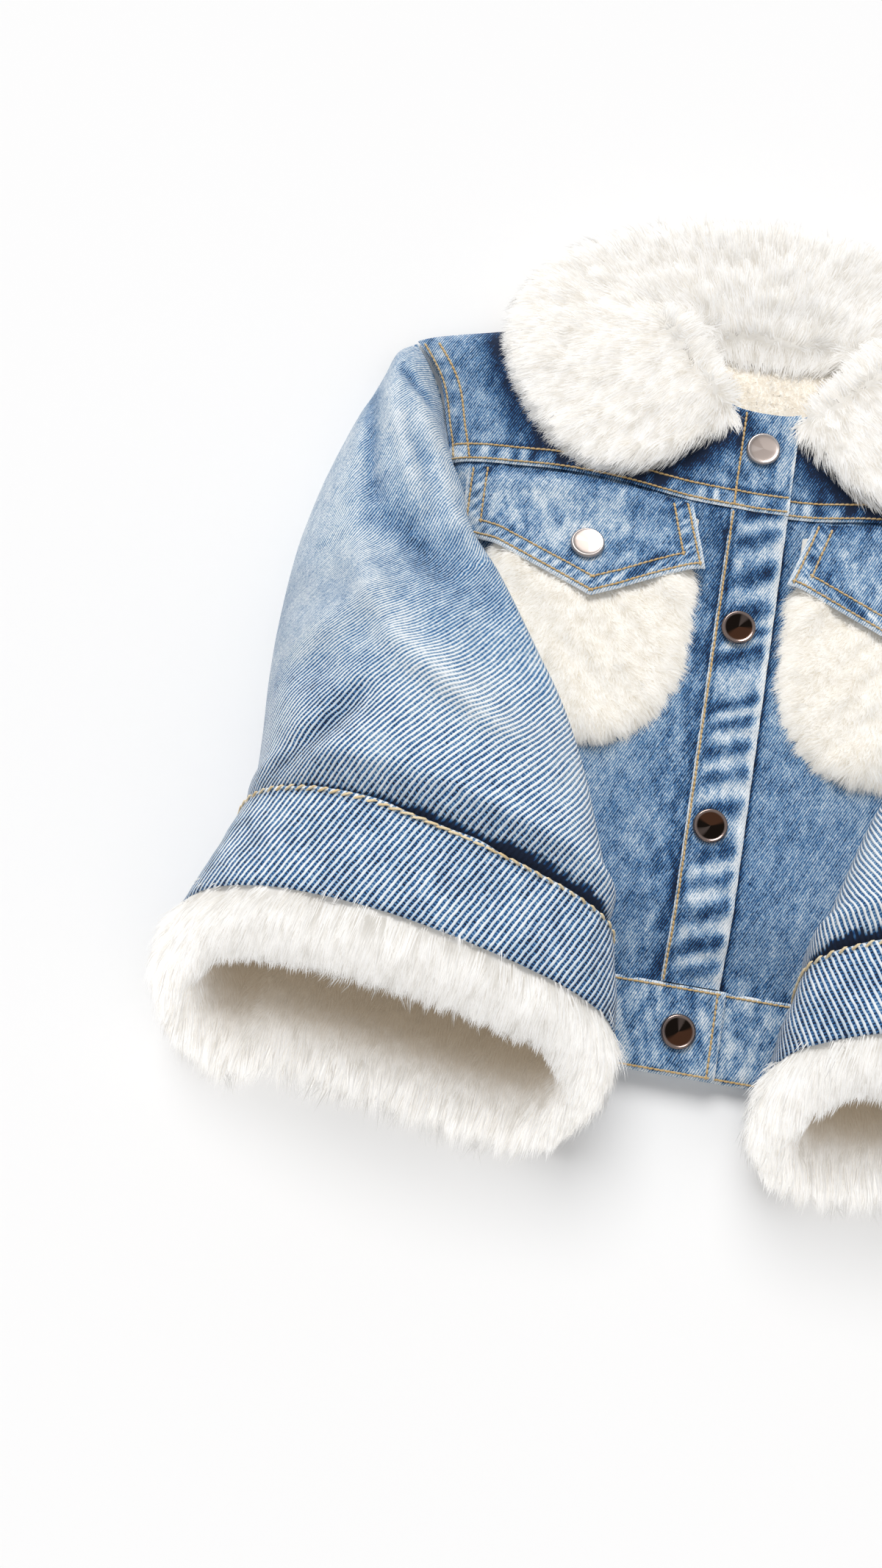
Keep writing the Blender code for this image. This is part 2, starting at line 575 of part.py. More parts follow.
def make_sleeves(denim, fleece, root):
    """Denim tube, folded denim cuff, and the fleece that lines the cuff and rolls out over its edge."""
    for name, mirror, strength in (("right", 1, 1.0), ("left", -1, LEFT_FOLDS)):
        folds = [(label, width, rise * strength, course) for label, width, rise, course in FOLDS]
        stations = np.concatenate([[0, 0.02, 0.05], np.linspace(0.09, 0.93, SLEEVE_RINGS - 5), [0.97, 1.0]])
        wall = np.where(stations < 0.02, 0.0010, CLOTH)
        outer = section(SLEEVE, stations, "s", np.zeros_like(stations), folds=folds)
        inner = section(SLEEVE, stations, "s", wall, folds=folds)
        add_tube(f"sleeve_{name}", np.concatenate([outer, inner[::-1]]), denim, root, mirror=mirror)

        stations = np.array([0.008, 0.3, 0.7, 1.0])
        outer = section(CUFF, stations, "t", np.zeros_like(stations))
        inner = section(CUFF, stations, "t", np.full_like(stations, BAND))
        add_tube(f"cuff_band_{name}", np.concatenate([outer, inner[::-1]]), denim, root, mirror=mirror)

        rings = section(CUFF, FLEECE_LIP["t"], "t", FLEECE_LIP["inset"], FLEECE_LIP["under"])
        add_tube(f"cuff_lining_{name}", rings, fleece, root, mirror=mirror)


# ---- Snaps -------------------------------------------------------------------------------------------


def make_snap(name, place, normal, metal, root):
    """Pressed cap: a shallow dish inside a rounded rim."""
    angle = 2 * np.pi * np.arange(SNAP_SIDES)[None, :] / SNAP_SIDES
    radius = SNAP_RADIUS * SNAP_CAP["radius"][:, None]
    height = SNAP_HEIGHT * SNAP_CAP["height"][:, None] * np.ones_like(angle)
    rings = np.stack([radius * np.cos(angle), radius * np.sin(angle), height], -1)
    index = np.arange(height.size).reshape(height.shape)
    beside = np.roll(index, -1, axis=1)
    walls = np.stack([index[:-1], beside[:-1], beside[1:], index[1:]], -1).reshape(-1, 4)
    faces = [*walls, index[0, ::-1], index[-1]]
    snap = add_object(name, rings.reshape(-1, 3), faces, metal, root)
    snap.location = place
    snap.rotation_euler = (math.atan2(-normal[1], normal[2]), math.atan2(normal[0], normal[2]), 0)


def make_snaps(rose, gunmetal, root):
    for name, y in FRONT_SNAPS_Y.items():
        x = np.array(0.0)
        wall = CLOTH if name == "snap_neck" else BAND
        normal = front_normal(x, np.array(y), True)
        place = on_front(x, y, wall + LIE, True)
        if name == "snap_hem":
            place = np.array([0, y, BAND + SEAM + BAND_RISE + OVERLAP_RISE + BAND + LIE])
            normal = np.array([0, 0, 1])
        make_snap(name, place, normal, rose if name == "snap_neck" else gunmetal, root)
    for name, mirror, laps in (("right", 1, True), ("left", -1, False)):
        x, y = (np.array(value) for value in FLAP_SNAP)
        place = on_front(x, y, flap_height(x, y) + FLAP + LIE, laps)
        step = 0.004
        near_x = x + np.array([-step, step, 0, 0])
        near_y = y + np.array([0, 0, -step, step])
        rise = flap_height(near_x, near_y) + front_under(near_x, near_y, laps)
        normal = np.array([rise[0] - rise[1], rise[2] - rise[3], 2 * step])
        make_snap(f"snap_flap_{name}", place * (mirror, 1, 1), normal * (mirror, 1, 1), rose, root)


def clear_scene():
    for obj in list(bpy.data.objects):
        bpy.data.objects.remove(obj, do_unlink=True)


def centre_on_origin(root):
    bpy.context.view_layer.update()
    y = [(child.matrix_world @ v.co).y for child in root.children for v in child.data.vertices]
    root.location.y = -(min(y) + max(y)) / 2


def make_jacket():
    clear_scene()
    root = bpy.data.objects.new("jacket", None)
    bpy.context.scene.collection.objects.link(root)
    denim = finish("washed_denim", (0.27, 0.42, 0.62), 0.85)
    white = finish("white_fleece", (0.88, 0.87, 0.84), 0.95)
    cream = finish("cream_sherpa", (0.86, 0.82, 0.74), 0.95)
    rose = finish("rose_grey_metal", (0.62, 0.55, 0.52), 0.28, 1.0)
    gunmetal = finish("gunmetal", (0.30, 0.23, 0.21), 0.25, 1.0)
    make_back(denim, root)
    make_lining(cream, root)
    make_fronts(denim, root)
    make_pockets(white, denim, root)
    make_collar(white, root)
    make_sleeves(denim, white, root)
    make_snaps(rose, gunmetal, root)
    centre_on_origin(root)


make_jacket()
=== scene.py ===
"""Looks of a toddler's sherpa lined denim jacket, laid on its back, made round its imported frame."""

import math

import bmesh
import bpy
import numpy as np
from mathutils import Matrix, Vector


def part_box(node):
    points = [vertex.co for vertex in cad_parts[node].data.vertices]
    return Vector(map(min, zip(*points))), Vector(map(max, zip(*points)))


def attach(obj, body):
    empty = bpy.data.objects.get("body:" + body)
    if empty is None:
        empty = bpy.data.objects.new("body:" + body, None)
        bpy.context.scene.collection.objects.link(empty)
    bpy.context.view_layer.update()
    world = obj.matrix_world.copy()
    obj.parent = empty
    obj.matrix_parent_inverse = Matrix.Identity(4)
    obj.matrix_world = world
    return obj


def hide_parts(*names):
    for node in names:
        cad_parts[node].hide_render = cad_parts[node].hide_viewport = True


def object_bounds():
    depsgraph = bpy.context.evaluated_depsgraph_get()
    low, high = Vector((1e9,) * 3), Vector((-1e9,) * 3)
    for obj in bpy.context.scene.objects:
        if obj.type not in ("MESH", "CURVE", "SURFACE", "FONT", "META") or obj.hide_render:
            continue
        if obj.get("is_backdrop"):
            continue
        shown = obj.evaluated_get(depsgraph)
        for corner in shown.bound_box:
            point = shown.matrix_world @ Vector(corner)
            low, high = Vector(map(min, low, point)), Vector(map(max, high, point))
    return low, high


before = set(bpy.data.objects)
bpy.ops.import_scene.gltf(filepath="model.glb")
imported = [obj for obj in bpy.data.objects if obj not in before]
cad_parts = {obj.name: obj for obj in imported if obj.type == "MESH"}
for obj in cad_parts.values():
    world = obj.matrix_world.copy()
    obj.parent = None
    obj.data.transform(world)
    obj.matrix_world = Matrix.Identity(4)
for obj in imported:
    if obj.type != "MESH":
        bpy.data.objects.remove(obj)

CAD_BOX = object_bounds()

# ---- Surface, light and camera -----------------------------------------------------------------------
# The jacket lies on its back on a plain white table, under a large soft light above its collar and a
# pale sky all round. The camera looks down on the wearer's right half, turned a little clockwise.

TABLE_SIZE = 6.0
TABLE_DIM, TABLE_BRIGHT = (0.955, 0.95, 0.945), (0.97, 0.965, 0.96)
CAMERA_AT = Vector((-0.09568, -0.18005, 0.65813))
CAMERA_TURN, CAMERA_TILT = math.radians(9.7), math.radians(10.0)
CAMERA_LENS, CAMERA_SENSOR = 35.1, 36.0
KEY_FROM = Vector((-0.20, 0.85, 1.0))
KEY_STRENGTH, KEY_SPREAD = 1.95, math.radians(28)
SKY_STRENGTH = 0.62
SKY_STOPS = [(0.0, (0.60, 0.60, 0.61)), (0.35, (0.80, 0.81, 0.83)), (1.0, (1.0, 1.0, 1.0))]


def add_object(name, data):
    made = bpy.data.objects.new(name, data)
    bpy.context.scene.collection.objects.link(made)
    return made


table = bpy.data.meshes.new("table")
end = TABLE_SIZE / 2
table.from_pydata([(-end, -end, 0), (end, -end, 0), (end, end, 0), (-end, end, 0)], [], [(0, 1, 2, 3)])
table = add_object("table", table)
table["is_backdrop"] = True

across = Vector((math.cos(CAMERA_TURN), math.sin(CAMERA_TURN), 0))
upward = Vector((-math.sin(CAMERA_TURN), math.cos(CAMERA_TURN), 0))
backward = Vector((0, 0, math.cos(CAMERA_TILT))) - upward * math.sin(CAMERA_TILT)
axes = Matrix((across, backward.cross(across), backward)).transposed()
camera = add_object("camera", bpy.data.cameras.new("camera"))
camera.matrix_world = Matrix.Translation(CAMERA_AT) @ axes.to_4x4()
camera.data.lens, camera.data.sensor_width = CAMERA_LENS, CAMERA_SENSOR
bpy.context.scene.camera = camera
bpy.context.scene.view_settings.view_transform = "Standard"

key = add_object("soft_key", bpy.data.lights.new("soft_key", "SUN"))
key.data.energy, key.data.angle = KEY_STRENGTH, KEY_SPREAD
key.rotation_euler = KEY_FROM.to_track_quat("Z", "Y").to_euler()


class Field:
    """One value among the nodes of a material or tree: arithmetic on it adds its Math nodes."""

    def __init__(self, recipe, socket):
        self.recipe, self.socket = recipe, socket

    def work(self, operation, *others, turned=False):
        values = (*others, self) if turned else (self, *others)
        return self.recipe.node("ShaderNodeMath", {"operation": operation}, dict(enumerate(values)))

    def __add__(self, other):
        return self.work("ADD", other)

    def __mul__(self, other):
        return self.work("MULTIPLY", other)

    def __sub__(self, other):
        return self.work("SUBTRACT", other)

    def __rsub__(self, other):
        return self.work("SUBTRACT", other, turned=True)

    def __truediv__(self, other):
        return self.work("DIVIDE", other)

    def __rtruediv__(self, other):
        return self.work("DIVIDE", other, turned=True)

    __radd__, __rmul__ = __add__, __mul__


class Recipe:
    """A tree of nodes, in which every node comes from one call, and the shader that it feeds."""

    def __init__(self, tree, shader=None):
        self.tree, self.shader = tree, shader

    def node(self, kind, settings=None, sockets=None, out=0):
        node = self.tree.nodes.new(kind)
        for name, value in (settings or {}).items():
            if name == "stops":
                while len(node.color_ramp.elements) < len(value):
                    node.color_ramp.elements.new(1)
                for element, (at, colour) in zip(node.color_ramp.elements, value):
                    element.position, element.color = at, (*colour, 1)
            else:
                setattr(node, name, value)
        for name, value in (sockets or {}).items():
            if isinstance(value, Field):
                self.tree.links.new(value.socket, node.inputs[name])
            else:
                node.inputs[name].default_value = value
        return Field(self, node.outputs[out] if node.outputs else None)

    def feed(self, socket, value):
        self.tree.links.new(value.socket, self.shader.inputs[socket])

    def bump(self, height, strength, distance):
        sockets = {"Strength": strength, "Distance": distance, "Height": height}
        self.feed("Normal", self.node("ShaderNodeBump", None, sockets))

    def place(self):
        return self.node("ShaderNodeTexCoord", out="Object")

    def attribute(self, label, out="Fac"):
        return self.node("ShaderNodeAttribute", {"attribute_name": label}, out=out)

    def blend(self, share, a, b):
        a, b = (colour if isinstance(colour, Field) else (*colour, 1) for colour in (a, b))
        return self.node("ShaderNodeMix", {"data_type": "RGBA"}, {0: share, 6: a, 7: b}, out=2)

    def ramp(self, value, stops):
        return self.node("ShaderNodeValToRGB", {"stops": stops}, {0: value})

    def joined(self, x, y, z):
        return self.node("ShaderNodeCombineXYZ", None, {0: x, 1: y, 2: z})

    def parts(self, vector):
        first = self.node("ShaderNodeSeparateXYZ", None, {0: vector})
        return first, *(Field(self, first.socket.node.outputs[k]) for k in (1, 2))

    def vector(self, operation, a, b):
        return self.node("ShaderNodeVectorMath", {"operation": operation}, {0: a, 1: b})

    def stretch(self, vector, factor):
        return self.node("ShaderNodeVectorMath", {"operation": "SCALE"}, {0: vector, "Scale": factor})

    def speckle(self, vector, scale, detail=2.0, rough=0.5):
        sockets = {"Vector": vector, "Scale": scale, "Detail": detail, "Roughness": rough}
        return self.node("ShaderNodeTexNoise", None, sockets)

    def bell(self, value, width):
        """1 where the value is 0, falling off to both sides."""
        share = value / width
        return (0 - share * share).work("EXPONENT")

    def gate(self, value, low, high):
        sockets = {"Value": value, "From Min": low, "From Max": high}
        return self.node("ShaderNodeMapRange", {"interpolation_type": "SMOOTHSTEP"}, sockets)


def new_material(name, roughness, metallic=0.0, sheen=0.0, specular=0.5):
    """A material and its recipe, with what is the same all over set on the shader."""
    material = bpy.data.materials.new(name)
    material.use_nodes = True
    shader = material.node_tree.nodes["Principled BSDF"]
    same = {"Roughness": roughness, "Metallic": metallic, "Sheen Weight": sheen}
    same["Specular IOR Level"] = specular
    for socket, value in same.items():
        shader.inputs[socket].default_value = value
    return material, Recipe(material.node_tree, shader)


paint, recipe = new_material("table_white", 0.9, specular=0.2)
recipe.feed("Base Color", recipe.blend(recipe.speckle(recipe.place(), 3.0), TABLE_DIM, TABLE_BRIGHT))
table.data.materials.append(paint)

world = bpy.data.worlds.new("studio")
world.use_nodes = True
bpy.context.scene.world = world
sky = Recipe(world.node_tree, world.node_tree.nodes["Background"])
height = sky.parts(sky.node("ShaderNodeTexCoord", out="Generated"))[2]
sky.feed("Color", sky.ramp(height, SKY_STOPS))
sky.shader.inputs["Strength"].default_value = SKY_STRENGTH

# ---- Back ----------------------------------------------------------------------------------------------
# One panel of washed twill from the hem band to the shoulders and the back neck, and the folded band
# sewn to its foot. Both lie flat on the table under everything else.

# Distances for the rubbed edges and for the painted shade are worked out in millimetres.
MM = 1000  # wear is worked out in millimetres
CLOTH = 0.0015  # one layer of denim
BAND = 0.0027  # folded denim: hem band, placket and cuffs
SEAM = 0.0003
LIE = 0.0004
HEM_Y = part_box("hem_band_back")[0][1]  # the garment's own y = 0, at its hem
HEM_BAND = 0.0380
NECK_HALF = 0.0430
NECK_POINT_Y, BACK_NECK_Y = 0.3380, 0.3210
SHOULDER_HALF, SHOULDER_Y = 0.1595, 0.3080
TWILL_LEAN = math.radians(64)
TWILL_PITCH, THREAD_BEAD = 0.00097, 0.0012
SHARP_EDGE = math.radians(40)
INDIGO_TO_WHITE = [
    (0.00, (0.006, 0.016, 0.045)),
    (0.12, (0.012, 0.070, 0.215)),
    (0.30, (0.056, 0.182, 0.385)),
    (0.50, (0.225, 0.350, 0.492)),
    (0.72, (0.485, 0.580, 0.675)),
    (1.00, (0.880, 0.905, 0.920)),
]


def columns(names, *rows):
    """Named columns of a short table."""
    return dict(zip(names.split(), np.array(rows, float).T))


SIDE = columns(
    "y half",
    (0.000, 0.1600),
    (0.038, 0.1610),
    (0.100, 0.1640),
    (0.150, 0.1665),
    (0.168, 0.1655),
    (0.178, 0.1550),
    (0.190, 0.1440),
    (0.208, 0.1355),
    (0.232, 0.1315),
    (0.252, 0.1345),
    (0.266, 0.1388),
    (0.288, 0.1460),
    (0.308, 0.1595),
)


def read(values, column, at, key="s"):
    """A column of a table between its rows, on a smooth curve through them."""
    knots, heights = values[key], values[column]
    slopes = np.gradient(heights, knots)
    at = np.clip(at, knots[0], knots[-1])
    row = np.clip(np.searchsorted(knots, at, side="right") - 1, 0, len(knots) - 2)
    span = knots[row + 1] - knots[row]
    f = (at - knots[row]) / span
    rise = (3 - 2 * f) * f**2
    bend = f * (1 - f) * span * ((1 - f) * slopes[row] - f * slopes[row + 1])
    return (1 - rise) * heights[row] + rise * heights[row + 1] + bend


def ease(value):
    """0 to 1 with a soft start and end."""
    value = np.clip(value, 0, 1)
    return value * value * (3 - 2 * value)


def mix(a, b, share):
    return a + (b - a) * share


def hump(distance, width):
    """1 at no distance, falling off to both sides."""
    return np.exp(-((distance / width) ** 2))


def cloud(x, y, cell, seed):
    """Smooth random height from -1 to 1 on a lattice of this cell."""
    knots = np.random.default_rng(seed).uniform(-1, 1, (64, 64))
    u, v = np.broadcast_arrays(np.asarray(x) / cell, np.asarray(y) / cell)
    i, j = np.floor(u).astype(int), np.floor(v).astype(int)
    a, b = ease(u - i), ease(v - j)
    low = mix(knots[i % 64, j % 64], knots[(i + 1) % 64, j % 64], a)
    high = mix(knots[i % 64, (j + 1) % 64], knots[(i + 1) % 64, (j + 1) % 64], a)
    return mix(low, high, b)


def each_row(count, low=0, high=1):
    """Even steps down a grid."""
    return np.linspace(low, high, count)[:, None]


def each_column(count, low=0, high=1):
    """Even steps across a grid."""
    return np.linspace(low, high, count)[None, :]


def grid(x, y, z):
    """Points or directions of a grid."""
    return np.stack(np.broadcast_arrays(x, y, z), -1)


def ripple(along, pitch, seed):
    """Uneven puckers along a seam, from -1 to 1."""
    return np.sin(2 * np.pi * along / pitch + 2.4 * cloud(along, 0, pitch * 1.3, seed))


def near_course(x, y, course):
    """Distance to a course in plan, and how far along it the nearest place is."""
    course = np.array(course)
    nearest, along = np.full_like(x, 1.0), np.zeros_like(x)
    pieces = len(course) - 1
    for k in range(pieces):
        a, b = course[k], course[k + 1]
        f = ((x - a[0]) * (b - a)[0] + (y - a[1]) * (b - a)[1]) / ((b - a) @ (b - a))
        f = np.clip(f, 0, 1)
        gap = np.hypot(x - mix(a[0], b[0], f), y - mix(a[1], b[1], f))
        along = np.where(gap < nearest, (k + f) / pieces, along)
        nearest = np.minimum(nearest, gap)
    return nearest, along


def shoulder_y(x):
    slope = (NECK_POINT_Y - SHOULDER_Y) / (SHOULDER_HALF - NECK_HALF)
    return NECK_POINT_Y - slope * (np.abs(x) - NECK_HALF)


def neck_y(x, middle):
    return middle + (NECK_POINT_Y - middle) * (np.minimum(np.abs(x), NECK_HALF) / NECK_HALF) ** 3


def back_edge_y(x):
    return np.where(np.abs(x) < NECK_HALF, neck_y(x, BACK_NECK_Y), shoulder_y(x))


def half_width(y):
    return read(SIDE, "half", y, "y")


def flat_weave(points):
    """Twill of a flat piece: number of the line, beads along it, and how coarse it looks."""
    across = points[..., 1] * math.cos(TWILL_LEAN) - points[..., 0] * math.sin(TWILL_LEAN)
    along = points[..., 0] * math.cos(TWILL_LEAN) + points[..., 1] * math.sin(TWILL_LEAN)
    return np.stack([across / TWILL_PITCH, along / THREAD_BEAD, 0 * along], -1)


def closed(values):
    """A grid whose first column comes again after its last one."""
    return np.concatenate([values, values[:, :1]], axis=1)


def outward(points, around=False):
    """Unit normals of a grid, whose rows run up and columns to the right as seen from outside."""
    if around:
        points = np.concatenate([points[:, -1:], closed(points)], axis=1)
    normal = np.cross(np.gradient(points, axis=1), np.gradient(points, axis=0))
    normal /= np.maximum(np.linalg.norm(normal, axis=-1, keepdims=True), 1e-12)
    return normal[:, 1:-1] if around else normal


def quads(index, flipped=False):
    """Faces of a grid of point numbers."""
    corners = [index[:-1, :-1], index[:-1, 1:], index[1:, 1:], index[1:, :-1]]
    order = (0, 3, 2, 1) if flipped else (0, 1, 2, 3)
    return np.stack([corners[k] for k in order], -1).reshape(-1, 4).tolist()


def store(mesh, label, values):
    """Values or vectors at a mesh's points, for its material or for a tree."""
    kind, field = ("FLOAT_VECTOR", "vector") if values.ndim > 1 else ("FLOAT", "value")
    mesh.attributes.new(label, kind, "POINT").data.foreach_set(field, values.astype(np.float32).ravel())


def add_piece(name, points, faces, material, attributes):
    """A finished mesh in the jacket's frame; points are given with the hem on y = 0."""
    mesh = bpy.data.meshes.new(name)
    mesh.from_pydata((points + (0, HEM_Y, 0)).tolist(), [], faces)
    mesh.materials.append(material)
    for label, values in attributes.items():
        store(mesh, label, values)
    mesh.shade_smooth()
    mesh.set_sharp_from_angle(angle=SHARP_EDGE)
    piece = add_object(name, mesh)
    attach(piece, "root")
    return piece


def coarse(count, step):
    """Every few of a row of points, with both ends."""
    return np.array([*range(0, count - 1, step), count - 1])


def shell(name, outer, inner, material, attributes, mirror=1, around=False, step=3):
    """A closed wall of cloth: a fine outer face and a coarser inner one, its points or how far in it is."""
    rows, cols = outer.shape[:2]
    fields = {}
    for key, values in attributes.items():
        fields[key] = np.broadcast_to(values, (rows, cols, *np.shape(values)[2:]))
    if np.ndim(inner) == 0:
        inner = outer - outward(outer, around) * inner
    if mirror < 0:
        outer, inner = (face[:, ::-1] * (-1, 1, 1) for face in (outer, inner))
        fields = {key: values[:, ::-1] for key, values in fields.items()}
    down = coarse(rows, step)
    over = np.arange(0, cols, step) if around else coarse(cols, step)
    picked = np.ix_(down, over)
    index = np.arange(rows * cols).reshape(rows, cols)
    under = rows * cols + np.arange(len(down) * len(over)).reshape(len(down), len(over))
    if around:
        index, under, over = closed(index), closed(under), np.append(over, cols)
    faces = quads(index) + quads(under, flipped=True)
    rims = [(index[0], under[0], over, 1), (index[-1], under[-1], over, -1)]
    if not around:
        rims += [(index[:, 0], under[:, 0], down, -1), (index[:, -1], under[:, -1], down, 1)]
    for fine, rough, picks, side in rims:
        for k in range(len(picks) - 1):
            face = [*fine[picks[k] : picks[k + 1] + 1][::-1].tolist(), int(rough[k]), int(rough[k + 1])]
            faces.append(face[::side])
    points = np.concatenate([face.reshape(-1, 3) for face in (outer, inner[picked])])
    layers = {}
    for key, values in fields.items():
        tail = values.shape[2:]
        hidden = values[picked] * (key != "thick")
        layers[key] = np.concatenate([values.reshape(-1, *tail), hidden.reshape(-1, *tail)])
    return add_piece(name, points, faces, material, layers)


def lay_sheet(outer, node, around=False):
    """Hide the frame's part that the piece stands for."""
    outer = closed(outer) if around else outer
    a, b = outer[1:, 1:] - outer[:-1, :-1], outer[1:, :-1] - outer[:-1, 1:]
    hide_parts(node)


def denim_piece(name, outer, inner, denim, wear, node, rests_on=(), held="laid", mirror=1, weave=None):
    """A piece of denim, given its inset, its shade and its patchiness; the shade is painted shade and
    highlight over real wash marks. A tube's weave is given with it.
    """
    around = weave is not None
    attributes = {
        "weave": weave if around else flat_weave(outer * (mirror, 1, 1)),
        "wear": np.stack(np.broadcast_arrays(*wear), -1),
    }
    piece = shell(name, outer, inner, denim, attributes, mirror, around)
    lay_sheet(outer, node, around)


def washed_denim(name, rows_of_stitches=(), rim=0.30, mottled=0.65):
    """Blue warp and white weft in a twill, washed pale: palest on folded edges, bluest beside seams, with
    painted shade and painted highlight from each piece laid over it.
    """
    material, recipe = new_material(name, 0.88, sheen=0.15, specular=0.25)
    line, along, coarseness = recipe.parts(recipe.attribute("weave", "Vector"))
    inset, shade, worked = recipe.parts(recipe.attribute("wear", "Vector"))
    place = recipe.place()
    slub = recipe.speckle(recipe.joined(line * 0.8, along * 0.09, 0.0), 1.0, 3.0) - 0.5
    grain = recipe.speckle(recipe.joined(line, along * 0.9, 3.0), 1.0, 2.0, 0.6) - 0.5
    wander = recipe.speckle(recipe.joined(line * 0.35, along * 0.45, 7.0), 1.0, 2.0) - 0.5
    rib = ((line + slub * 0.22 + wander * 0.26) * (2 * math.pi)).work("SINE")
    beads = (along * (2 * math.pi) + line.work("FLOOR") * 2.4 + grain * 5.0).work("SINE")
    ticks = recipe.gate(beads, -0.3, 0.7)
    mottle = recipe.speckle(place, 70.0, 4.0, 0.55) - 0.5
    blotch = recipe.speckle(recipe.vector("MULTIPLY", place, (1.0, 0.6, 1.0)), 240.0, 3.0, 0.6) - 0.5
    fine = 0.50 + rib * 0.26 + grain * 0.95 + slub * 0.50
    blue = 0.13 + ticks * 0.27 + grain * 0.7 + slub * 0.5
    broad = blue + (0.98 + slub * 0.3 - blue) * recipe.gate(rib + grain * 0.9, -0.15, 0.40)
    drawn = recipe.vector("MULTIPLY", place, (1.0, 0.5, 1.0))
    patch = recipe.gate(recipe.speckle(drawn, 150.0, 5.0, 0.66), 0.32, 0.66) - 0.5
    wash = mottle * 0.34 + blotch * mottled
    # shade carries each piece's painted shade and painted highlight, mixed with real wash marks.
    white = fine + coarseness * (broad - fine) + wash + shade + worked * patch - 0.02
    white = white + recipe.bell(inset, 1.7) * rim
    # Darker along each row of stitches: painted shade of the groove the thread pulls in, over the unfaded dye
    # there.
    for row in rows_of_stitches:
        white = white - recipe.bell(inset - row, 0.8) * 0.14
    recipe.feed("Base Color", recipe.ramp(white, INDIGO_TO_WHITE))
    recipe.bump(rib * (0.25 + coarseness * 0.75) + grain * 0.6 + slub * 0.5, 0.55, 0.00035)
    return material


body_denim = washed_denim("washed_denim_body")
share, across = each_row(30), each_column(80, -1)
x = half_width(mix(HEM_BAND + SEAM, SHOULDER_Y, share)) * across
y = mix(HEM_BAND + SEAM, back_edge_y(x), share)
flat = grid(x, y, 0)
inset = MM * (1 - np.abs(across)) * half_width(y)
denim_piece("back", flat + (0, 0, CLOTH), flat, body_denim, (inset, 0, 0), "back_panel")

x, y = np.broadcast_arrays(half_width(0) * across, HEM_BAND * each_row(12))
flat = grid(x, y, 0)
inset = MM * np.minimum(y, HEM_BAND - y)
denim_piece("back_hem", flat + (0, 0, BAND), flat, body_denim, (inset, 0, 0), "hem_band_back")

# ---- Lining --------------------------------------------------------------------------------------------
# Cream sherpa: a knitted backing brushed into short curly tufts. One piece lines the back and is seen in
# the neck; the two that line the fronts are closed in between.

LOFT = 0.0132
EDGE_ROLL = 0.0220
UNDERARM_Y = 0.1550
ARMHOLE_LOFT, HEM_LOFT, SHOULDER_LOFT = 0.36, 0.34, 0.25
LOFT_SPLIT = 0.52
OVERLAP_RISE = 0.0034
LAP_START, LAP_END = -0.0540, -0.0140
FRONT_NECK_Y = 0.2925
OFF_TABLE = 0.0002
SWIRL_SCALE, SWIRL_PULL, TOSS = 110.0, 2.2, 0.45
HAIR_SIZES = (0.7, 1.25)  # the shortest and the longest, as shares of a pile's length
# Colour of the painted shade far inside a cuff's pile.
SHADE_DEEP_IN_PILE = (0.44, 0.365, 0.27)
# where each hair of a strand starts, how far it leans aside, and its length
LONG_HAIRS = ((0.0, 0.0, 1.0), (-2.6, 0.9, 0.84), (2.2, -0.7, 0.92), (-1.2, -1.4, 0.72))
SHORT_HAIRS = ((0.0, 0.3, 1.0), (-2.6, -0.8, 0.8), (2.4, 0.9, 0.9), (-1.2, 1.2, 0.7), (1.4, -1.4, 0.75))


def rolled(distance, reach, foot=0.0):
    """Height share of a cushioned edge: a quarter round from the foot up to 1."""
    share = np.clip(distance / reach, 0, 1)
    return foot + (1 - foot) * np.sqrt(np.maximum(1 - (1 - share) ** 2, 0))


def front_edge_y(x):
    return np.where(np.abs(x) < NECK_HALF, neck_y(x, FRONT_NECK_Y), shoulder_y(x))


def loft(x, y):
    """Share of the fleece's height under the fronts."""
    armhole = ARMHOLE_LOFT * ease((y - UNDERARM_Y) / 0.03)
    sides = armhole + (1 - armhole) * rolled(half_width(y) - np.abs(x), EDGE_ROLL)
    hem = mix(HEM_LOFT, 1, ease((y - HEM_BAND + 0.008) / 0.045))
    beside_neck = ease((np.abs(x) - NECK_HALF + 0.02) / 0.02)
    shoulder = mix(1, rolled(shoulder_y(x) - y, EDGE_ROLL, SHOULDER_LOFT), beside_neck)
    return sides * hem * shoulder


def overlap_rise(x):
    return OVERLAP_RISE * ease((x - LAP_START) / (LAP_END - LAP_START))


def front_under(x, y, laps=False):
    """Height of the inner face of a front; the lapping one rises over the other's edge."""
    return CLOTH + SEAM + LOFT * loft(x, y) + np.where(laps, overlap_rise(x), 0)


def front_tilt(x, y, laps, step=0.001):
    return (front_under(x + step, y, laps) - front_under(x - step, y, laps)) / (2 * step)


def unit(vectors):
    return vectors / np.linalg.norm(vectors, axis=-1, keepdims=True)


def on_front(x, y, out, laps=False):
    """Points of a front's inner face, moved out square to it across."""
    x, y = np.broadcast_arrays(np.asarray(x, float), np.asarray(y, float))
    normal = unit(grid(-front_tilt(x, y, laps), 0, 1))
    return grid(x, y, front_under(x, y, laps)) + normal * np.asarray(out)[..., None]


def lining_split(x, y):
    """Height where the back's fleece meets that of the fronts."""
    return mix(CLOTH + SEAM, front_under(x, y), LOFT_SPLIT)


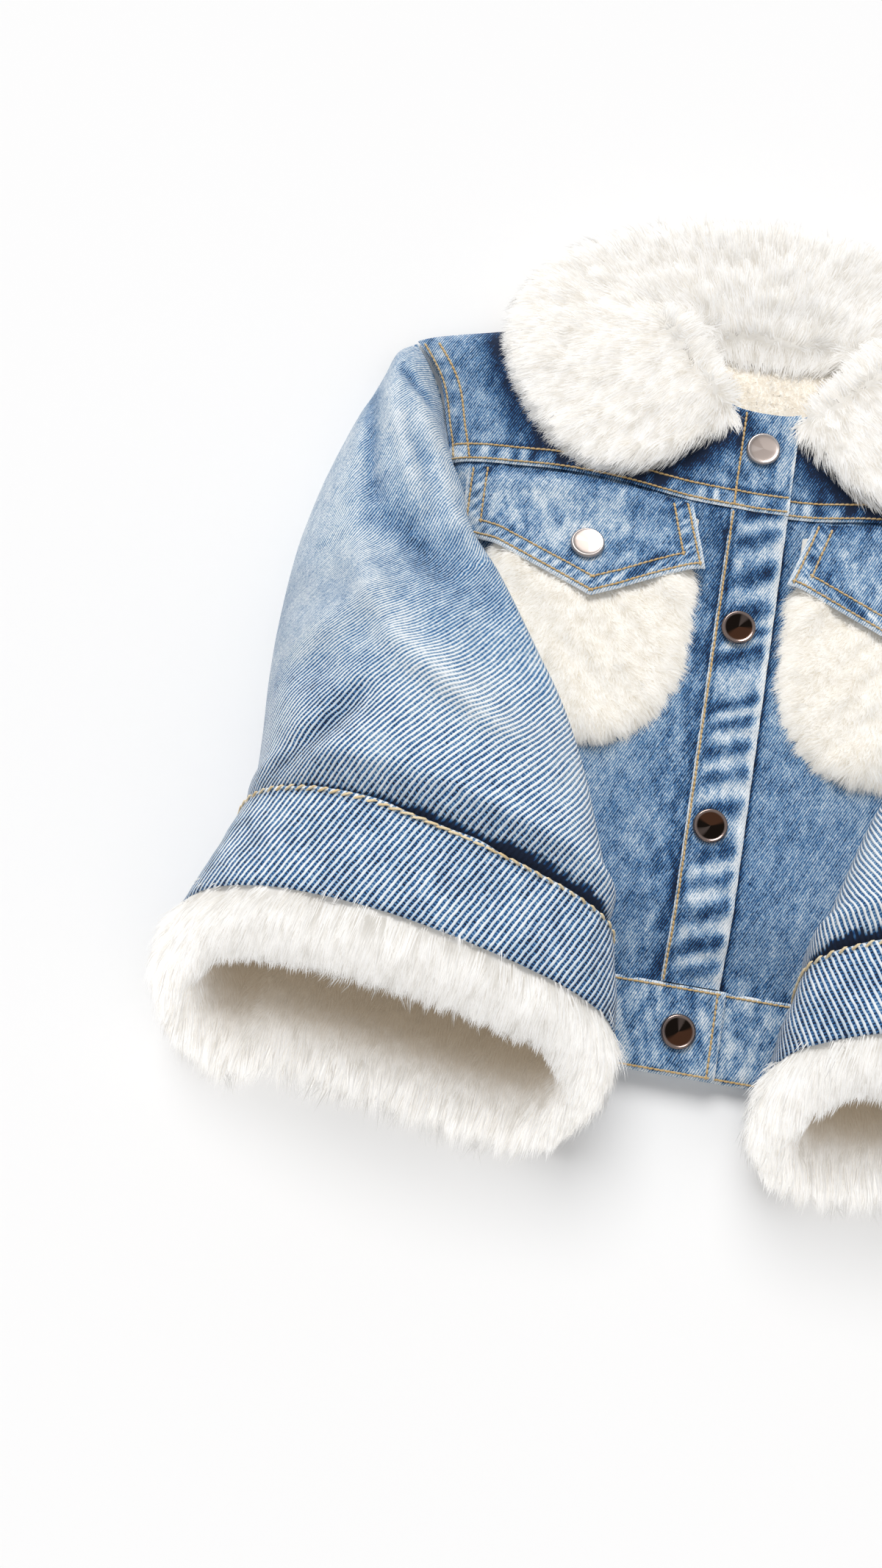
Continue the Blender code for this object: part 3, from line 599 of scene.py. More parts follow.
def pile_finish(name, root, tip, painted_glow):
    """Brushed fibre, paler from root to tip with painted shade at the roots and inside a cuff; painted light
    given off by the fibre stands in for the light passed on by its neighbours and keeps it from going dark.
    """
    material, recipe = new_material(name, 0.95, sheen=0.25, specular=0.15)
    rise, tone, deep, below = (recipe.attribute(label) for label in ("rise", "tone", "deep", "below"))
    patch = recipe.speckle(recipe.place(), 150.0, 4.0, 0.6) - 0.5
    tint = recipe.blend(recipe.gate(rise * 0.8 + tone * 0.55 + patch * 0.5, -0.1, 1.0), root, tip)
    # Painted shade far inside a cuff's opening.
    tint = recipe.blend(recipe.gate(deep, 0.0, 1.0), tint, SHADE_DEEP_IN_PILE)
    recipe.feed("Base Color", tint)
    # Painted light given off by the fibre, more on the shaded underside of a cuff's lip.
    recipe.feed("Emission Color", recipe.stretch(tint, 0.42 + below * 0.58))
    recipe.shader.inputs["Emission Strength"].default_value = painted_glow
    recipe.bump(patch, 0.4, 0.0006)
    return material


def make_strand(name, bend, material, hairs, jointed=1):
    """A few tapered fibres, a unit high, that droop to one side; the first of them in two joints."""
    points, rises, faces = [], [], []
    for k, (start, aside, length) in enumerate(hairs):
        first = len(points)
        for level, width in ((0.0, 0.5), (0.55, 0.38))[: 2 if k < jointed else 1]:
            for side in (-1, 1):
                across = start + side * width + aside * level * 1.5
                points.append((across, -bend * (length * level) ** 2, length * level))
                # How far up the fibre, for the painted shade at its root.
                rises.append(0.40 + 0.60 * level)
        points.append((start + aside * 1.5, -bend * length**2, length * (1.0 - 0.25 * bend)))
        rises.append(1.0)
        if k < jointed:
            faces.append((first, first + 2, first + 3, first + 1))
        faces.append((len(points) - 3, len(points) - 1, len(points) - 2))
    mesh = bpy.data.meshes.new(name)
    mesh.from_pydata(points, [], faces)
    store(mesh, "rise", np.array(rises))
    mesh.materials.append(material)
    mesh.shade_smooth()
    return add_object(name, mesh)


def new_tree(name, numbers):
    """A tree's recipe, its inputs by name, and by their identifiers: a pattern, its finish, a seed, sizes."""
    tree = bpy.data.node_groups.new(name, "GeometryNodeTree")
    for way in ("OUTPUT", "INPUT"):
        tree.interface.new_socket("Geometry", in_out=way, socket_type="NodeSocketGeometry")
    kinds = {"Pattern": "Object", "Finish": "Material", "Seed": "Int", **dict.fromkeys(numbers, "Float")}
    keys = {}
    for key, kind in kinds.items():
        keys[key] = tree.interface.new_socket(key, in_out="INPUT", socket_type=f"NodeSocket{kind}").identifier
    recipe = Recipe(tree)
    start = recipe.node("NodeGroupInput").socket.node
    return recipe, {key: Field(recipe, start.outputs[key]) for key in ["Geometry", *kinds]}, keys


def named(recipe, label, kind="FLOAT"):
    return recipe.node("GeometryNodeInputNamedAttribute", {"data_type": kind}, {"Name": label})


def kept_with(recipe, points, label, kind, value):
    settings = {"data_type": kind, "domain": "POINT"}
    sockets = {"Geometry": points, "Name": label, "Value": value}
    return recipe.node("GeometryNodeStoreNamedAttribute", settings, sockets)


def random_share(recipe, seed, low=0.0, high=1.0):
    return recipe.node("FunctionNodeRandomValue", None, {2: low, 3: high, "Seed": seed}, out=1)


def set_copies(recipe, given, points, turned, scale):
    """The end of a tree: copies of its pattern on points, made one mesh with one finish."""
    pattern = recipe.node("GeometryNodeObjectInfo", None, {"Object": given["Pattern"]}, out="Geometry")
    sockets = {"Points": points, "Instance": pattern, "Rotation": turned, "Scale": scale}
    copies = recipe.node("GeometryNodeInstanceOnPoints", None, sockets)
    whole = recipe.node("GeometryNodeRealizeInstances", None, {"Geometry": copies})
    done = recipe.node("GeometryNodeSetMaterial", None, {"Geometry": whole, "Material": given["Finish"]})
    recipe.node("NodeGroupOutput", None, {"Geometry": done})


def make_pile_tree():
    """Strands of pile over a surface, drawn together in tufts and laid over to one side."""
    recipe, given, keys = new_tree("pile", ("Density", "Length", "Width", "Lean", "Wild", "Tuft", "Draw"))
    length, lean, wild, seed = (given[key] for key in ("Length", "Lean", "Wild", "Seed"))
    density = given["Density"] * named(recipe, "thick")
    sockets = {"Mesh": given["Geometry"], "Density": density, "Seed": seed}
    points = recipe.node("GeometryNodeDistributePointsOnFaces", {"distribute_method": "RANDOM"}, sockets)
    normal = Field(recipe, points.socket.node.outputs["Normal"])
    lay = named(recipe, "lay", "FLOAT_VECTOR")
    place = recipe.node("GeometryNodeInputPosition")
    sockets = {0: (-1, -1, -1), 1: (1, 1, 1), "Seed": seed}
    toss = recipe.node("FunctionNodeRandomValue", {"data_type": "FLOAT_VECTOR"}, sockets)
    sockets = {"Vector": place, "Scale": SWIRL_SCALE, "Detail": 2.0}
    swirl = recipe.node("ShaderNodeTexNoise", None, sockets, out="Color")
    swirl = recipe.stretch(recipe.vector("SUBTRACT", swirl, (0.5, 0.5, 0.5)), SWIRL_PULL)
    sockets = {"Vector": place, "Scale": 1.0 / given["Tuft"]}
    cell = recipe.node("ShaderNodeTexVoronoi", None, sockets, out="Position")
    tip = recipe.vector("ADD", cell, recipe.stretch(normal, length * 0.8))
    to_tip = recipe.vector("SUBTRACT", tip, place)
    way = recipe.stretch(normal, 1.0 - lean)
    for pull, share in ((lay, lean), (to_tip, given["Draw"] / length), (toss, wild * TOSS), (swirl, wild)):
        way = recipe.vector("ADD", way, recipe.stretch(pull, share))
    facing = recipe.vector("ADD", normal, recipe.stretch(toss, TOSS))
    axes = {"primary_axis": "Z", "secondary_axis": "Y"}
    turned = recipe.node("FunctionNodeAxesToRotation", axes, {0: way, 1: facing})
    kept = kept_with(recipe, points, "skin", "FLOAT_VECTOR", normal)
    kept = kept_with(recipe, kept, "tone", "FLOAT", random_share(recipe, seed + 2.0) - 0.5)
    size = random_share(recipe, seed + 1.0, *HAIR_SIZES)
    tall = length * size * named(recipe, "long")
    set_copies(recipe, given, kept, turned, recipe.joined(given["Width"] * size, tall, tall))
    return recipe.tree, keys


def run_tree(name, source, grower, values, casts=True):
    """A tree's result on a mesh as a piece of its own: a plain mesh, kept off the table."""
    tree, keys = grower
    modifier = source.modifiers.new(name, "NODES")
    modifier.node_group = tree
    for key, value in values.items():
        modifier[keys[key]] = value
    bpy.context.view_layer.update()
    graph = bpy.context.evaluated_depsgraph_get()
    seen = source.evaluated_get(graph)
    mesh = bpy.data.meshes.new_from_object(seen, preserve_all_data_layers=True, depsgraph=graph)
    source.modifiers.remove(modifier)
    mesh.name = name
    points = mesh_vectors(mesh.vertices, "co")
    points[:, 2] = np.maximum(points[:, 2], OFF_TABLE)
    mesh.vertices.foreach_set("co", points.ravel())
    mesh.update()
    if "skin" in mesh.attributes:
        light_as_pile(mesh)
    piece = add_object(name, mesh)
    piece.visible_shadow = casts
    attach(piece, "root")
    return piece


def mesh_vectors(items, label):
    values = np.empty(len(items) * 3, np.float32)
    items.foreach_get(label, values)
    return values.reshape(-1, 3)


def light_as_pile(mesh):
    """Turn every fibre's face up, and light it mostly as the surface that it grows on."""
    work = bmesh.new()
    work.from_mesh(mesh)
    work.normal_update()
    bmesh.ops.reverse_faces(work, faces=[face for face in work.faces if face.normal.z < 0])
    work.to_mesh(mesh)
    work.free()
    skin = mesh_vectors(mesh.attributes["skin"].data, "vector")
    own = mesh_vectors(mesh.vertices, "normal")
    facing = (skin * 0.6 + own * 0.2) * (1, 1, 0.6) + (0, 0, 0.6)
    mesh.normals_split_custom_set_from_vertices(unit(facing))


def grow_pile(name, base, strand, finish, slot, **sizes):
    run_tree(name, base, PILE, {"Pattern": strand, "Finish": finish, **sizes}, casts=False)


def combed(points, way, around=False):
    """A direction laid into the surface at every point of a grid."""
    normal = outward(points, around)
    flat = way - normal * (way * normal).sum(-1, keepdims=True)
    return flat / np.maximum(np.linalg.norm(flat, axis=-1, keepdims=True), 0.25)


PILE = make_pile_tree()
sherpa = pile_finish("cream_sherpa", (0.64, 0.58, 0.49), (0.92, 0.89, 0.83), 0.3)
sherpa_curl = make_strand("sherpa_curl", 0.55, sherpa, SHORT_HAIRS)

share = each_row(70)
x = (half_width(mix(HEM_BAND, SHOULDER_Y, share)) - 0.010) * each_column(80, -1)
y = mix(HEM_BAND + 0.006, back_edge_y(x) - mix(0.001, 0.008, ease(np.abs(x) / NECK_HALF - 0.6)), share)
foot = grid(x, y, CLOTH + SEAM)
seen = ease((0.052 - np.abs(x)) / 0.01) * ease((y - 0.262) / 0.01)
outer = grid(x, y, lining_split(x, y) - 0.0015 * seen + 0.0006 * seen * cloud(x, y, 0.005, 3))
attributes = {"rise": 0.45, "lay": grid(0 * x, -1.0, 0), "thick": seen, "long": 1.0}
lining = shell("sherpa_back", outer, foot, sherpa, attributes)
lay_sheet(outer, "lining_back")
sizes = {"Length": 0.0034, "Width": 0.0008, "Lean": 0.40, "Wild": 0.7, "Tuft": 0.0045, "Draw": 0.5}
grow_pile("sherpa_back_pile", lining, sherpa_curl, sherpa, "cream_sherpa", Seed=5, Density=0.60e6, **sizes)

for name, mirror, inside in (("right", 1, -0.0155), ("left", -1, 0.0110)):
    share = each_row(24)
    x = mix(0.016 - half_width(mix(HEM_BAND, SHOULDER_Y, share)), inside, each_column(20))
    y = mix(HEM_BAND + 0.010, front_edge_y(x) - 0.014, share)
    outer = grid(x, y, front_under(x, y) - 2 * LIE)
    foot = grid(x, y, lining_split(x, y) + 2 * LIE)
    lining = shell(f"sherpa_front_{name}", outer, foot, sherpa, {"rise": 0.45}, mirror)
    lay_sheet(outer, f"lining_front_{name}")

# ---- Fronts --------------------------------------------------------------------------------------------
# Each front is a lower panel, a yoke that laps over it with two rows of ochre topstitching, and a folded
# hem band. The right front ends in a folded placket and laps over the left one.

YOKE_END = 0.1350
WELT = 0.0011
PLACKET_LEFT, PLACKET_RIGHT = -0.0100, 0.0150
UNDERLAP = 0.0120
BAND_END, BAND_RISE, BAND_ROLL = 0.0180, 0.0040, 0.0060
TUCK = 0.0030  # how far a panel runs on under the piece that is sewn over it
YOKE_ROWS = (1.8, 8.5)  # rows of stitches, in millimetres from the edge
HEM_ROWS = (1.5, 36.2)
SLANTS = (-0.06, 0.06)  # how far a stitch turns either way, by chance
PANEL_WALL, YOKE_WALL, HEM_WALL, PLACKET_WALL = 0.0011, 0.0010, 0.0012, 0.0010
STITCH = {"Pitch": 0.0023, "Length": 0.0025, "Width": 0.00100, "Slant": 0.10}
OCHRE = (0.58, 0.36, 0.12)
PALE_OCHRE = (0.70, 0.51, 0.27)
BOTH_SIDES = (("right", 1, True), ("left", -1, False))  # name, mirror, and whether it laps over
ARMHOLE_ROWS = (2.0, 8.0)
YOKE_DRAW, HEM_DRAW = (0.011, 13), (0.013, 14)  # pitch of the puckers, and their seed
YOKE_PUCKERS, HEM_PUCKERS, PLACKET_PUCKERS = (0.0095, 21), (0.0075, 31), (0.0135, 41)
COLLAR = columns(
    "s inner_x inner_y outer_x outer_y top",
    (0.00, -0.0130, 0.2880, -0.0165, 0.2820, 0.0270),
    (0.08, -0.0165, 0.2950, -0.0290, 0.2705, 0.0310),
    (0.20, -0.0215, 0.3035, -0.0500, 0.2570, 0.0340),
    (0.32, -0.0270, 0.3120, -0.0740, 0.2550, 0.0350),
    (0.44, -0.0325, 0.3200, -0.0960, 0.2680, 0.0350),
    (0.55, -0.0375, 0.3270, -0.1120, 0.2880, 0.0340),
    (0.65, -0.0405, 0.3320, -0.1195, 0.3080, 0.0320),
    (0.75, -0.0380, 0.3300, -0.1170, 0.3340, 0.0290),
    (0.84, -0.0300, 0.3235, -0.0960, 0.3590, 0.0270),
    (0.92, -0.0160, 0.3190, -0.0540, 0.3790, 0.0260),
    (1.00, 0.0000, 0.3180, 0.0000, 0.3860, 0.0260),
)
YOKE_SEAM = columns(
    "x y",
    (0.000, 0.2457),
    (0.026, 0.2470),
    (0.054, 0.2512),
    (0.087, 0.2525),
    (0.109, 0.2510),
    (0.135, 0.2495),
)


def yoke_y(x):
    return read(YOKE_SEAM, "y", np.abs(x), "x")


def welt(x, y):
    return WELT * (1 - ease((y - yoke_y(x)) / 0.013))


def make_stitch_tree():
    """Stitches of one length along lines of mesh edges, each lying on the cloth under it."""
    recipe, given, keys = new_tree("topstitching", ("Pitch", "Length", "Width", "Slant"))
    line = recipe.node("GeometryNodeMeshToCurve", None, {"Mesh": given["Geometry"]})
    sockets = {"Curve": line, "Length": given["Pitch"]}
    spaced = recipe.node("GeometryNodeResampleCurve", {"mode": "LENGTH"}, sockets)
    sockets = {0: named(recipe, "out", "FLOAT_VECTOR"), 1: recipe.node("GeometryNodeInputTangent")}
    axes = {"primary_axis": "Z", "secondary_axis": "X"}
    laid = recipe.node("FunctionNodeAxesToRotation", axes, sockets)
    slant = given["Slant"] + random_share(recipe, given["Seed"], *SLANTS)
    slant = recipe.node("FunctionNodeAxisAngleToRotation", None, {"Axis": (0, 0, 1), "Angle": slant})
    laid = recipe.node("FunctionNodeRotateRotation", {"rotation_space": "LOCAL"}, {0: laid, 1: slant})
    scale = recipe.joined(given["Length"], given["Width"], given["Width"] * 0.8)
    set_copies(recipe, given, spaced, laid, scale)
    return recipe.tree, keys


def thread_finish(name, colour, pale):
    """Twisted sewing thread."""
    material, recipe = new_material(name, 0.6, sheen=0.2, specular=0.4)
    place = recipe.place()
    twist, tone = recipe.speckle(place, 1600.0), recipe.speckle(place, 140.0)
    recipe.feed("Base Color", recipe.blend(recipe.gate(twist * 0.5 + tone * 0.5, 0.3, 0.7), colour, pale))
    recipe.bump(twist, 0.5, 0.0001)
    return material


def drum(rows, sides):
    """Faces of stacked rings of points, closed at both ends."""
    index = closed(np.arange(rows * sides).reshape(rows, sides))
    return quads(index) + [index[0, :-1][::-1].tolist(), index[-1, :-1].tolist()]


def make_grain(name, material, sides=6):
    """One stitch, a unit long and wide: a swelling thread whose ends dive into the cloth."""
    ends = (0.50, 0.16, -0.55), (0.36, 0.42, 0.0)  # station, radius, height
    stations = [(-s, r, z) for s, r, z in ends] + [(0.0, 0.50, 0.10)] + list(ends[::-1])
    turn = 2 * np.pi * np.arange(sides) / sides
    rings = [(s, r * math.cos(t), r * math.sin(t) + z) for s, r, z in stations for t in turn]
    mesh = bpy.data.meshes.new(name)
    mesh.from_pydata(rings, [], drum(len(stations), sides))
    mesh.materials.append(material)
    mesh.shade_smooth()
    return add_object(name, mesh)


def stitch_path(surface, x, y, lift=0.0002):
    """A row of stitches on a surface: where it runs, and the way out of the cloth along it."""
    x, y = np.broadcast_arrays(np.asarray(x, float), np.asarray(y, float))
    step = 0.0004
    du = surface(x + step, y) - surface(x - step, y)
    dv = surface(x, y + step) - surface(x, y - step)
    out = unit(np.cross(du, dv))
    return surface(x, y) + out * lift, out


def sew(name, paths, grain, thread, sizes, mirror):
    """All the topstitching of one section as one piece."""
    edges, start = [], 0
    for path, _ in paths:
        edges += [(start + k, start + k + 1) for k in range(len(path) - 1)]
        start += len(path)
    points, ways = (np.concatenate(rows) * (mirror, 1, 1) for rows in zip(*paths))
    mesh = bpy.data.meshes.new(name + "_lines")
    mesh.from_pydata((points + (0, HEM_Y, 0)).tolist(), edges, [])
    store(mesh, "out", ways)
    lines = add_object(name + "_lines", mesh)
    values = {"Pattern": grain, "Finish": thread, "Seed": 3, **sizes}
    run_tree(name, lines, TOPSTITCHING, values)
    bpy.data.objects.remove(lines)


def rounded_edge(inset, depth=0.0007, reach=0.0014):
    """How much lower a folded edge is than the cloth beside it."""
    return depth * (1 - rolled(inset, reach))


def placket_ridge(x):
    """0 to 1 where a piece rises over the placket's edge under it."""
    return ease((x - PLACKET_LEFT + 0.001) / 0.002)


TOPSTITCHING = make_stitch_tree()
ochre_thread = thread_finish("ochre_thread", OCHRE, PALE_OCHRE)
stitch_grain = make_grain("stitch_grain", ochre_thread)
yoke_denim = washed_denim("washed_denim_yoke", YOKE_ROWS, rim=0.42)
hem_denim = washed_denim("washed_denim_hem", HEM_ROWS, rim=0.38)
placket_denim = washed_denim("washed_denim_placket", rim=0.55)

for name, mirror, laps in BOTH_SIDES:
    edge = PLACKET_LEFT + TUCK if laps else UNDERLAP

    def panel_surface(x, y):
        drape = 0.0005 * cloud(x, y, 0.030, 11) + 0.0002 * cloud(x, y, 0.011, 12)
        below_yoke = yoke_y(x) - y
        drawn = 0.00035 * ripple(x, *YOKE_DRAW) * hump(below_yoke, 0.007)
        drawn = drawn + 0.0004 * ripple(x, *HEM_DRAW) * hump(y - HEM_BAND, 0.008)
        tucked = 0.0009 * (1 - ease((below_yoke + 0.001) / 0.003))
        if laps:
            tucked = np.maximum(tucked, 0.0004 * placket_ridge(x))
        return on_front(x, y, CLOTH + drape + drawn - tucked, laps)

    share = each_row(96)
    side = half_width(mix(HEM_BAND - TUCK, yoke_y(YOKE_END), share))
    x = mix(-side, edge, each_column(90) ** 1.15)
    y = mix(HEM_BAND - TUCK, yoke_y(x) + TUCK * 0.7, share)
    outer = panel_surface(x, y)
    below_yoke, over_hem = MM * (yoke_y(x) - y), MM * (y - HEM_BAND)
    # Painted shade under the yoke's lapped edge and above the hem band, over dye the wash left darker there;
    # puckers fade pale and blue.
    shade = -0.30 * hump(below_yoke, 2.2) * (0.75 + 0.25 * ripple(x, *YOKE_DRAW))
    shade = shade - 0.26 * hump(over_hem, 3.5) * (0.5 - 0.5 * ripple(x, *HEM_DRAW))
    shade = shade + 0.10 * ripple(x, *YOKE_DRAW) * hump(below_yoke - 5, 4) + 0.05 * cloud(x, y, 0.018, 15)
    seams = np.maximum(hump(below_yoke, 9), hump(over_hem, 12))
    if laps:
        # Painted shade in the recess beside the placket's edge, over the unfaded dye there.
        to_placket = MM * (PLACKET_LEFT - x)
        shade = shade - 0.30 * hump(to_placket, 3.0) - 0.08 * hump(to_placket, 12)
        seams = np.maximum(seams, 1.4 * hump(to_placket, 12))
    else:
        # Painted shadow that the lapping placket's edge casts on this front.
        shade = shade - 0.65 * hump(MM * (x + PLACKET_RIGHT), 1.6) * ease((0.24 - y) / 0.01)
    shade = shade - 0.10 * ease(1 + x / 0.06) - 0.02
    wear = MM * (half_width(y) + x), shade, 0.08 + 0.24 * seams
    node, under = f"front_{name}_panel", [f"sherpa_front_{name}"]
    denim_piece(f"panel_{name}", outer, PANEL_WALL, body_denim, wear, node, under, mirror=mirror)

    edge = PLACKET_RIGHT if laps else UNDERLAP

    def yoke_surface(x, y):
        over = y - yoke_y(x)
        inset = np.minimum(np.minimum(over, front_edge_y(x) - y), edge - x)
        puckers = 0.00028 * ripple(x, *YOKE_PUCKERS) * hump(over - 0.0052, 0.0032)
        drape = 0.0004 * cloud(x, y, 0.026, 22)
        ridge = 0.0004 * placket_ridge(x) if laps else 0
        return on_front(x, y, CLOTH + welt(x, y) + puckers + drape + ridge - rounded_edge(inset), laps)

    share = np.concatenate([np.linspace(0, 0.16, 18), np.linspace(0.19, 1, 32)])[:, None]
    side = half_width(mix(yoke_y(YOKE_END), SHOULDER_Y, share))
    x = mix(-side, edge, each_column(110))
    y = mix(yoke_y(x) + SEAM / 2, front_edge_y(x), share)
    outer = yoke_surface(x, y)
    over = MM * (y - yoke_y(x))
    to_armhole = MM * (half_width(y) + x)
    shade = 0.30 * ripple(x, *YOKE_PUCKERS) * hump(over - 5.2, 3.0) + 0.07 * cloud(x, y, 0.017, 23)
    shade = shade - 0.05 - 0.30 * hump(over - 9.6, 1.3)
    # Painted shadow of the collar's pile on the yoke along its edge.
    to_collar, _ = near_course(x, y, np.stack([COLLAR["outer_x"], COLLAR["outer_y"]], -1))
    shade = shade - 0.72 * hump(to_collar, 0.0105)
    shade = shade + 0.16 * ripple(y, 0.010, 24) * hump(to_armhole - 5, 3)
    if laps:
        # Painted shade in the recess beside the placket's stitching, over the unfaded dye there.
        shade = shade - 0.20 * hump(MM * (PLACKET_LEFT - x), 2.5)
    worked = 0.14 + 0.26 * np.maximum(hump(over - 6, 8), hump(x, 0.022))
    wear = np.minimum(over, MM * (edge - x)), shade, worked
    node, under = f"front_{name}_yoke", [f"panel_{name}"]
    denim_piece(f"yoke_{name}", outer, YOKE_WALL, yoke_denim, wear, node, under, mirror=mirror)
    x = np.linspace(-YOKE_END + 0.002, edge - 0.002, 120)
    paths = [stitch_path(yoke_surface, x, yoke_y(x) + row / MM) for row in YOKE_ROWS]
    y = np.linspace(yoke_y(YOKE_END) + 0.004, SHOULDER_Y - 0.004, 50)
    paths += [stitch_path(yoke_surface, -half_width(y) + row / MM, y) for row in ARMHOLE_ROWS]
    if laps:
        y = np.linspace(yoke_y(0) + 0.003, FRONT_NECK_Y - 0.002, 30)
        paths.append(stitch_path(yoke_surface, PLACKET_LEFT + 0.0008, y))

    edge = BAND_END if laps else UNDERLAP

    def hem_surface(x, y):
        roll = rolled(y, BAND_ROLL, 0.35)
        rise = overlap_rise(x) if laps else 0
        under = BAND + SEAM + BAND_RISE * rolled(side + x, EDGE_ROLL) * roll + rise
        puckers = 0.0003 * ripple(x, *HEM_PUCKERS) * (0.5 + 0.5 * cloud(x, y, 0.02, 32))
        inset = np.minimum(HEM_BAND - y, edge - x) if laps else HEM_BAND - y
        top = under + BAND * mix(0.8, 1, roll) + puckers - rounded_edge(inset, 0.0009)
        return grid(x, y, top)

    side = half_width(HEM_BAND / 2)
    x, y = np.broadcast_arrays(mix(-side, edge, each_column(130)), HEM_BAND * each_row(34))
    outer = hem_surface(x, y)
    shade = 0.20 * ripple(x + 0.3 * y, *HEM_PUCKERS) * (0.6 + 0.4 * cloud(x, y, 0.02, 32)) - 0.02
    inset = MM * (HEM_BAND - y)
    if laps:
        inset = np.minimum(inset, np.where(x > edge - 0.0018, MM * (edge - x), 99))
    wear = np.where(y < 0.0015, MM * y, inset), shade, 0.46
    node, under = f"hem_band_{name}", ["back_hem"]
    denim_piece(f"hem_{name}", outer, HEM_WALL, hem_denim, wear, node, under, "folded", mirror)
    x = np.linspace(-side + 0.002, edge - 0.0035, 150)
    paths += [stitch_path(hem_surface, x, HEM_BAND - row / MM) for row in HEM_ROWS]
    if laps:
        paths.append(stitch_path(hem_surface, edge - 0.0037, np.linspace(0.002, HEM_BAND - 0.002, 30)))

        def placket_surface(x, y):
            inset = np.minimum(x - PLACKET_LEFT, PLACKET_RIGHT - x)
            puckers = 0.0004 * ripple(y, *PLACKET_PUCKERS) * ease((x - PLACKET_LEFT - 0.002) / 0.01)
            puckers = puckers + 0.0003 * ripple(y + x, 0.0135, 42) * ease((PLACKET_RIGHT - x) / 0.01)
            return on_front(x, y, BAND + puckers - rounded_edge(inset, 0.0010), True)

        x = mix(PLACKET_LEFT, PLACKET_RIGHT, each_column(20))
        y = mix(HEM_BAND + SEAM, yoke_y(x) - SEAM / 2, each_row(140))
        x = x * np.ones_like(y)
        outer = placket_surface(x, y)
        from_left = MM * (x - PLACKET_LEFT)
        slanted = y - 0.35 * (x - PLACKET_LEFT)
        # Puckers fade pale and blue; painted shade, over unfaded dye, darkens the recesses along the
        # stitching and beside the yoke and hem seams.
        shade = 0.30 * ripple(slanted, *PLACKET_PUCKERS) * ease((x - PLACKET_LEFT - 0.001) / 0.006)
        shade = shade - 0.05 - 0.12 * ease((y - 0.13) / 0.06)
        shade = shade * ease((PLACKET_RIGHT - x) / 0.004 + 0.2) - 0.35 * hump(from_left - 2.2, 0.9)
        shade = shade - 0.25 * hump(MM * (yoke_y(x) - y), 2.2) - 0.2 * hump(MM * (y - HEM_BAND), 3)
        inset = np.minimum(0.65 * MM * (PLACKET_RIGHT - x) - 0.3, from_left + 0.4)
        wear = inset, shade, 0.32 * ease((PLACKET_RIGHT - x) / 0.003)
        under = ["panel_left"]
        denim_piece("placket", outer, PLACKET_WALL, placket_denim, wear, "placket_right", under, "folded")
        y = np.linspace(HEM_BAND + 0.002, yoke_y(0) - 0.002, 150)
        paths.append(stitch_path(placket_surface, PLACKET_LEFT + 0.0010, y))
    sew(f"stitching_front_{name}", paths, stitch_grain, ochre_thread, STITCH, mirror)

# ---- Patch pockets and flaps ---------------------------------------------------------------------------
# A patch pocket of short white plush on each front, rounded at its foot, under a pointed flap of two
# layers of denim that is topstitched twice along its edge.

POCKET_X, POCKET_HALF = -0.0660, 0.0440
POCKET_TOP, POCKET_BOTTOM = 0.2380, 0.1345
POCKET_ROUND, POCKET_SQUARE = 0.0520, 2.4
POCKET_PILE, POCKET_RIM = 0.0120, 0.0100
FLAP, FLAP_WALL = 0.0022, 0.0012
FLAP_TOP_LEFT, FLAP_TOP_RIGHT = -0.1255, -0.0265
FLAP_FOOT_LEFT, FLAP_FOOT_RIGHT = -0.1240, -0.0178
FLAP_FOOT_LEFT_Y, FLAP_POINT_Y, FLAP_FOOT_RIGHT_Y = 0.2160, 0.1930, 0.2145
FLAP_POINT_AT = 0.55
FLAP_ROWS = (2.2, 8.0)
PLUSH = 0.0050  # length of the pocket's pile


def pocket_height(y):
    return POCKET_PILE * mix(1, 0.30, ease((y - 0.192) / 0.046))


def flap_height(x, y):
    """How far the flap's inner face stands off the panel's: over the pile, down to the cloth beside it."""
    over = ease((POCKET_HALF + 0.013 - np.abs(x - POCKET_X)) / 0.016)
    seated = mix(0.25, 1, ease((yoke_y(x) - y) / 0.012))
    return CLOTH + 2 * LIE + (pocket_height(y) + 2 * LIE) * over * seated


def flap_foot(across):
    to_point = mix(FLAP_FOOT_LEFT_Y, FLAP_POINT_Y, across / FLAP_POINT_AT)
    from_point = mix(FLAP_POINT_Y, FLAP_FOOT_RIGHT_Y, (across - FLAP_POINT_AT) / (1 - FLAP_POINT_AT))
    return np.where(across < FLAP_POINT_AT, to_point, from_point)


FLAP_CORNERS = np.array(
    [
        (FLAP_TOP_LEFT, float(yoke_y(FLAP_TOP_LEFT)) - 0.003),
        (FLAP_FOOT_LEFT, FLAP_FOOT_LEFT_Y),
        (mix(FLAP_FOOT_LEFT, FLAP_FOOT_RIGHT, FLAP_POINT_AT), FLAP_POINT_Y),
        (FLAP_FOOT_RIGHT, FLAP_FOOT_RIGHT_Y),
        (FLAP_TOP_RIGHT, float(yoke_y(FLAP_TOP_RIGHT)) - 0.003),
    ]
)


def flap_inset(x, y):
    """How far in from the flap's free edges a point lies."""
    nearest = np.full(np.shape(x), 1.0)
    for a, b in zip(FLAP_CORNERS, FLAP_CORNERS[1:]):
        way = unit(b - a)
        nearest = np.minimum(nearest, (y - a[1]) * way[0] - (x - a[0]) * way[1])
    return nearest


def inset_corners(corners, inset):
    """The same open outline, moved in by a distance."""
    ways = unit(np.diff(corners, axis=0))
    ins = np.stack([-ways[:, 1], ways[:, 0]], -1) * inset
    moved = [corners[0] + ins[0]]
    for k in range(len(ways) - 1):
        a, b = corners[k] + ins[k], corners[k + 1] + ins[k + 1]
        share = np.cross(b - a, ways[k + 1]) / np.cross(ways[k], ways[k + 1])
        moved.append(a + ways[k] * share)
    return np.array(moved + [corners[-1] + ins[-1]])


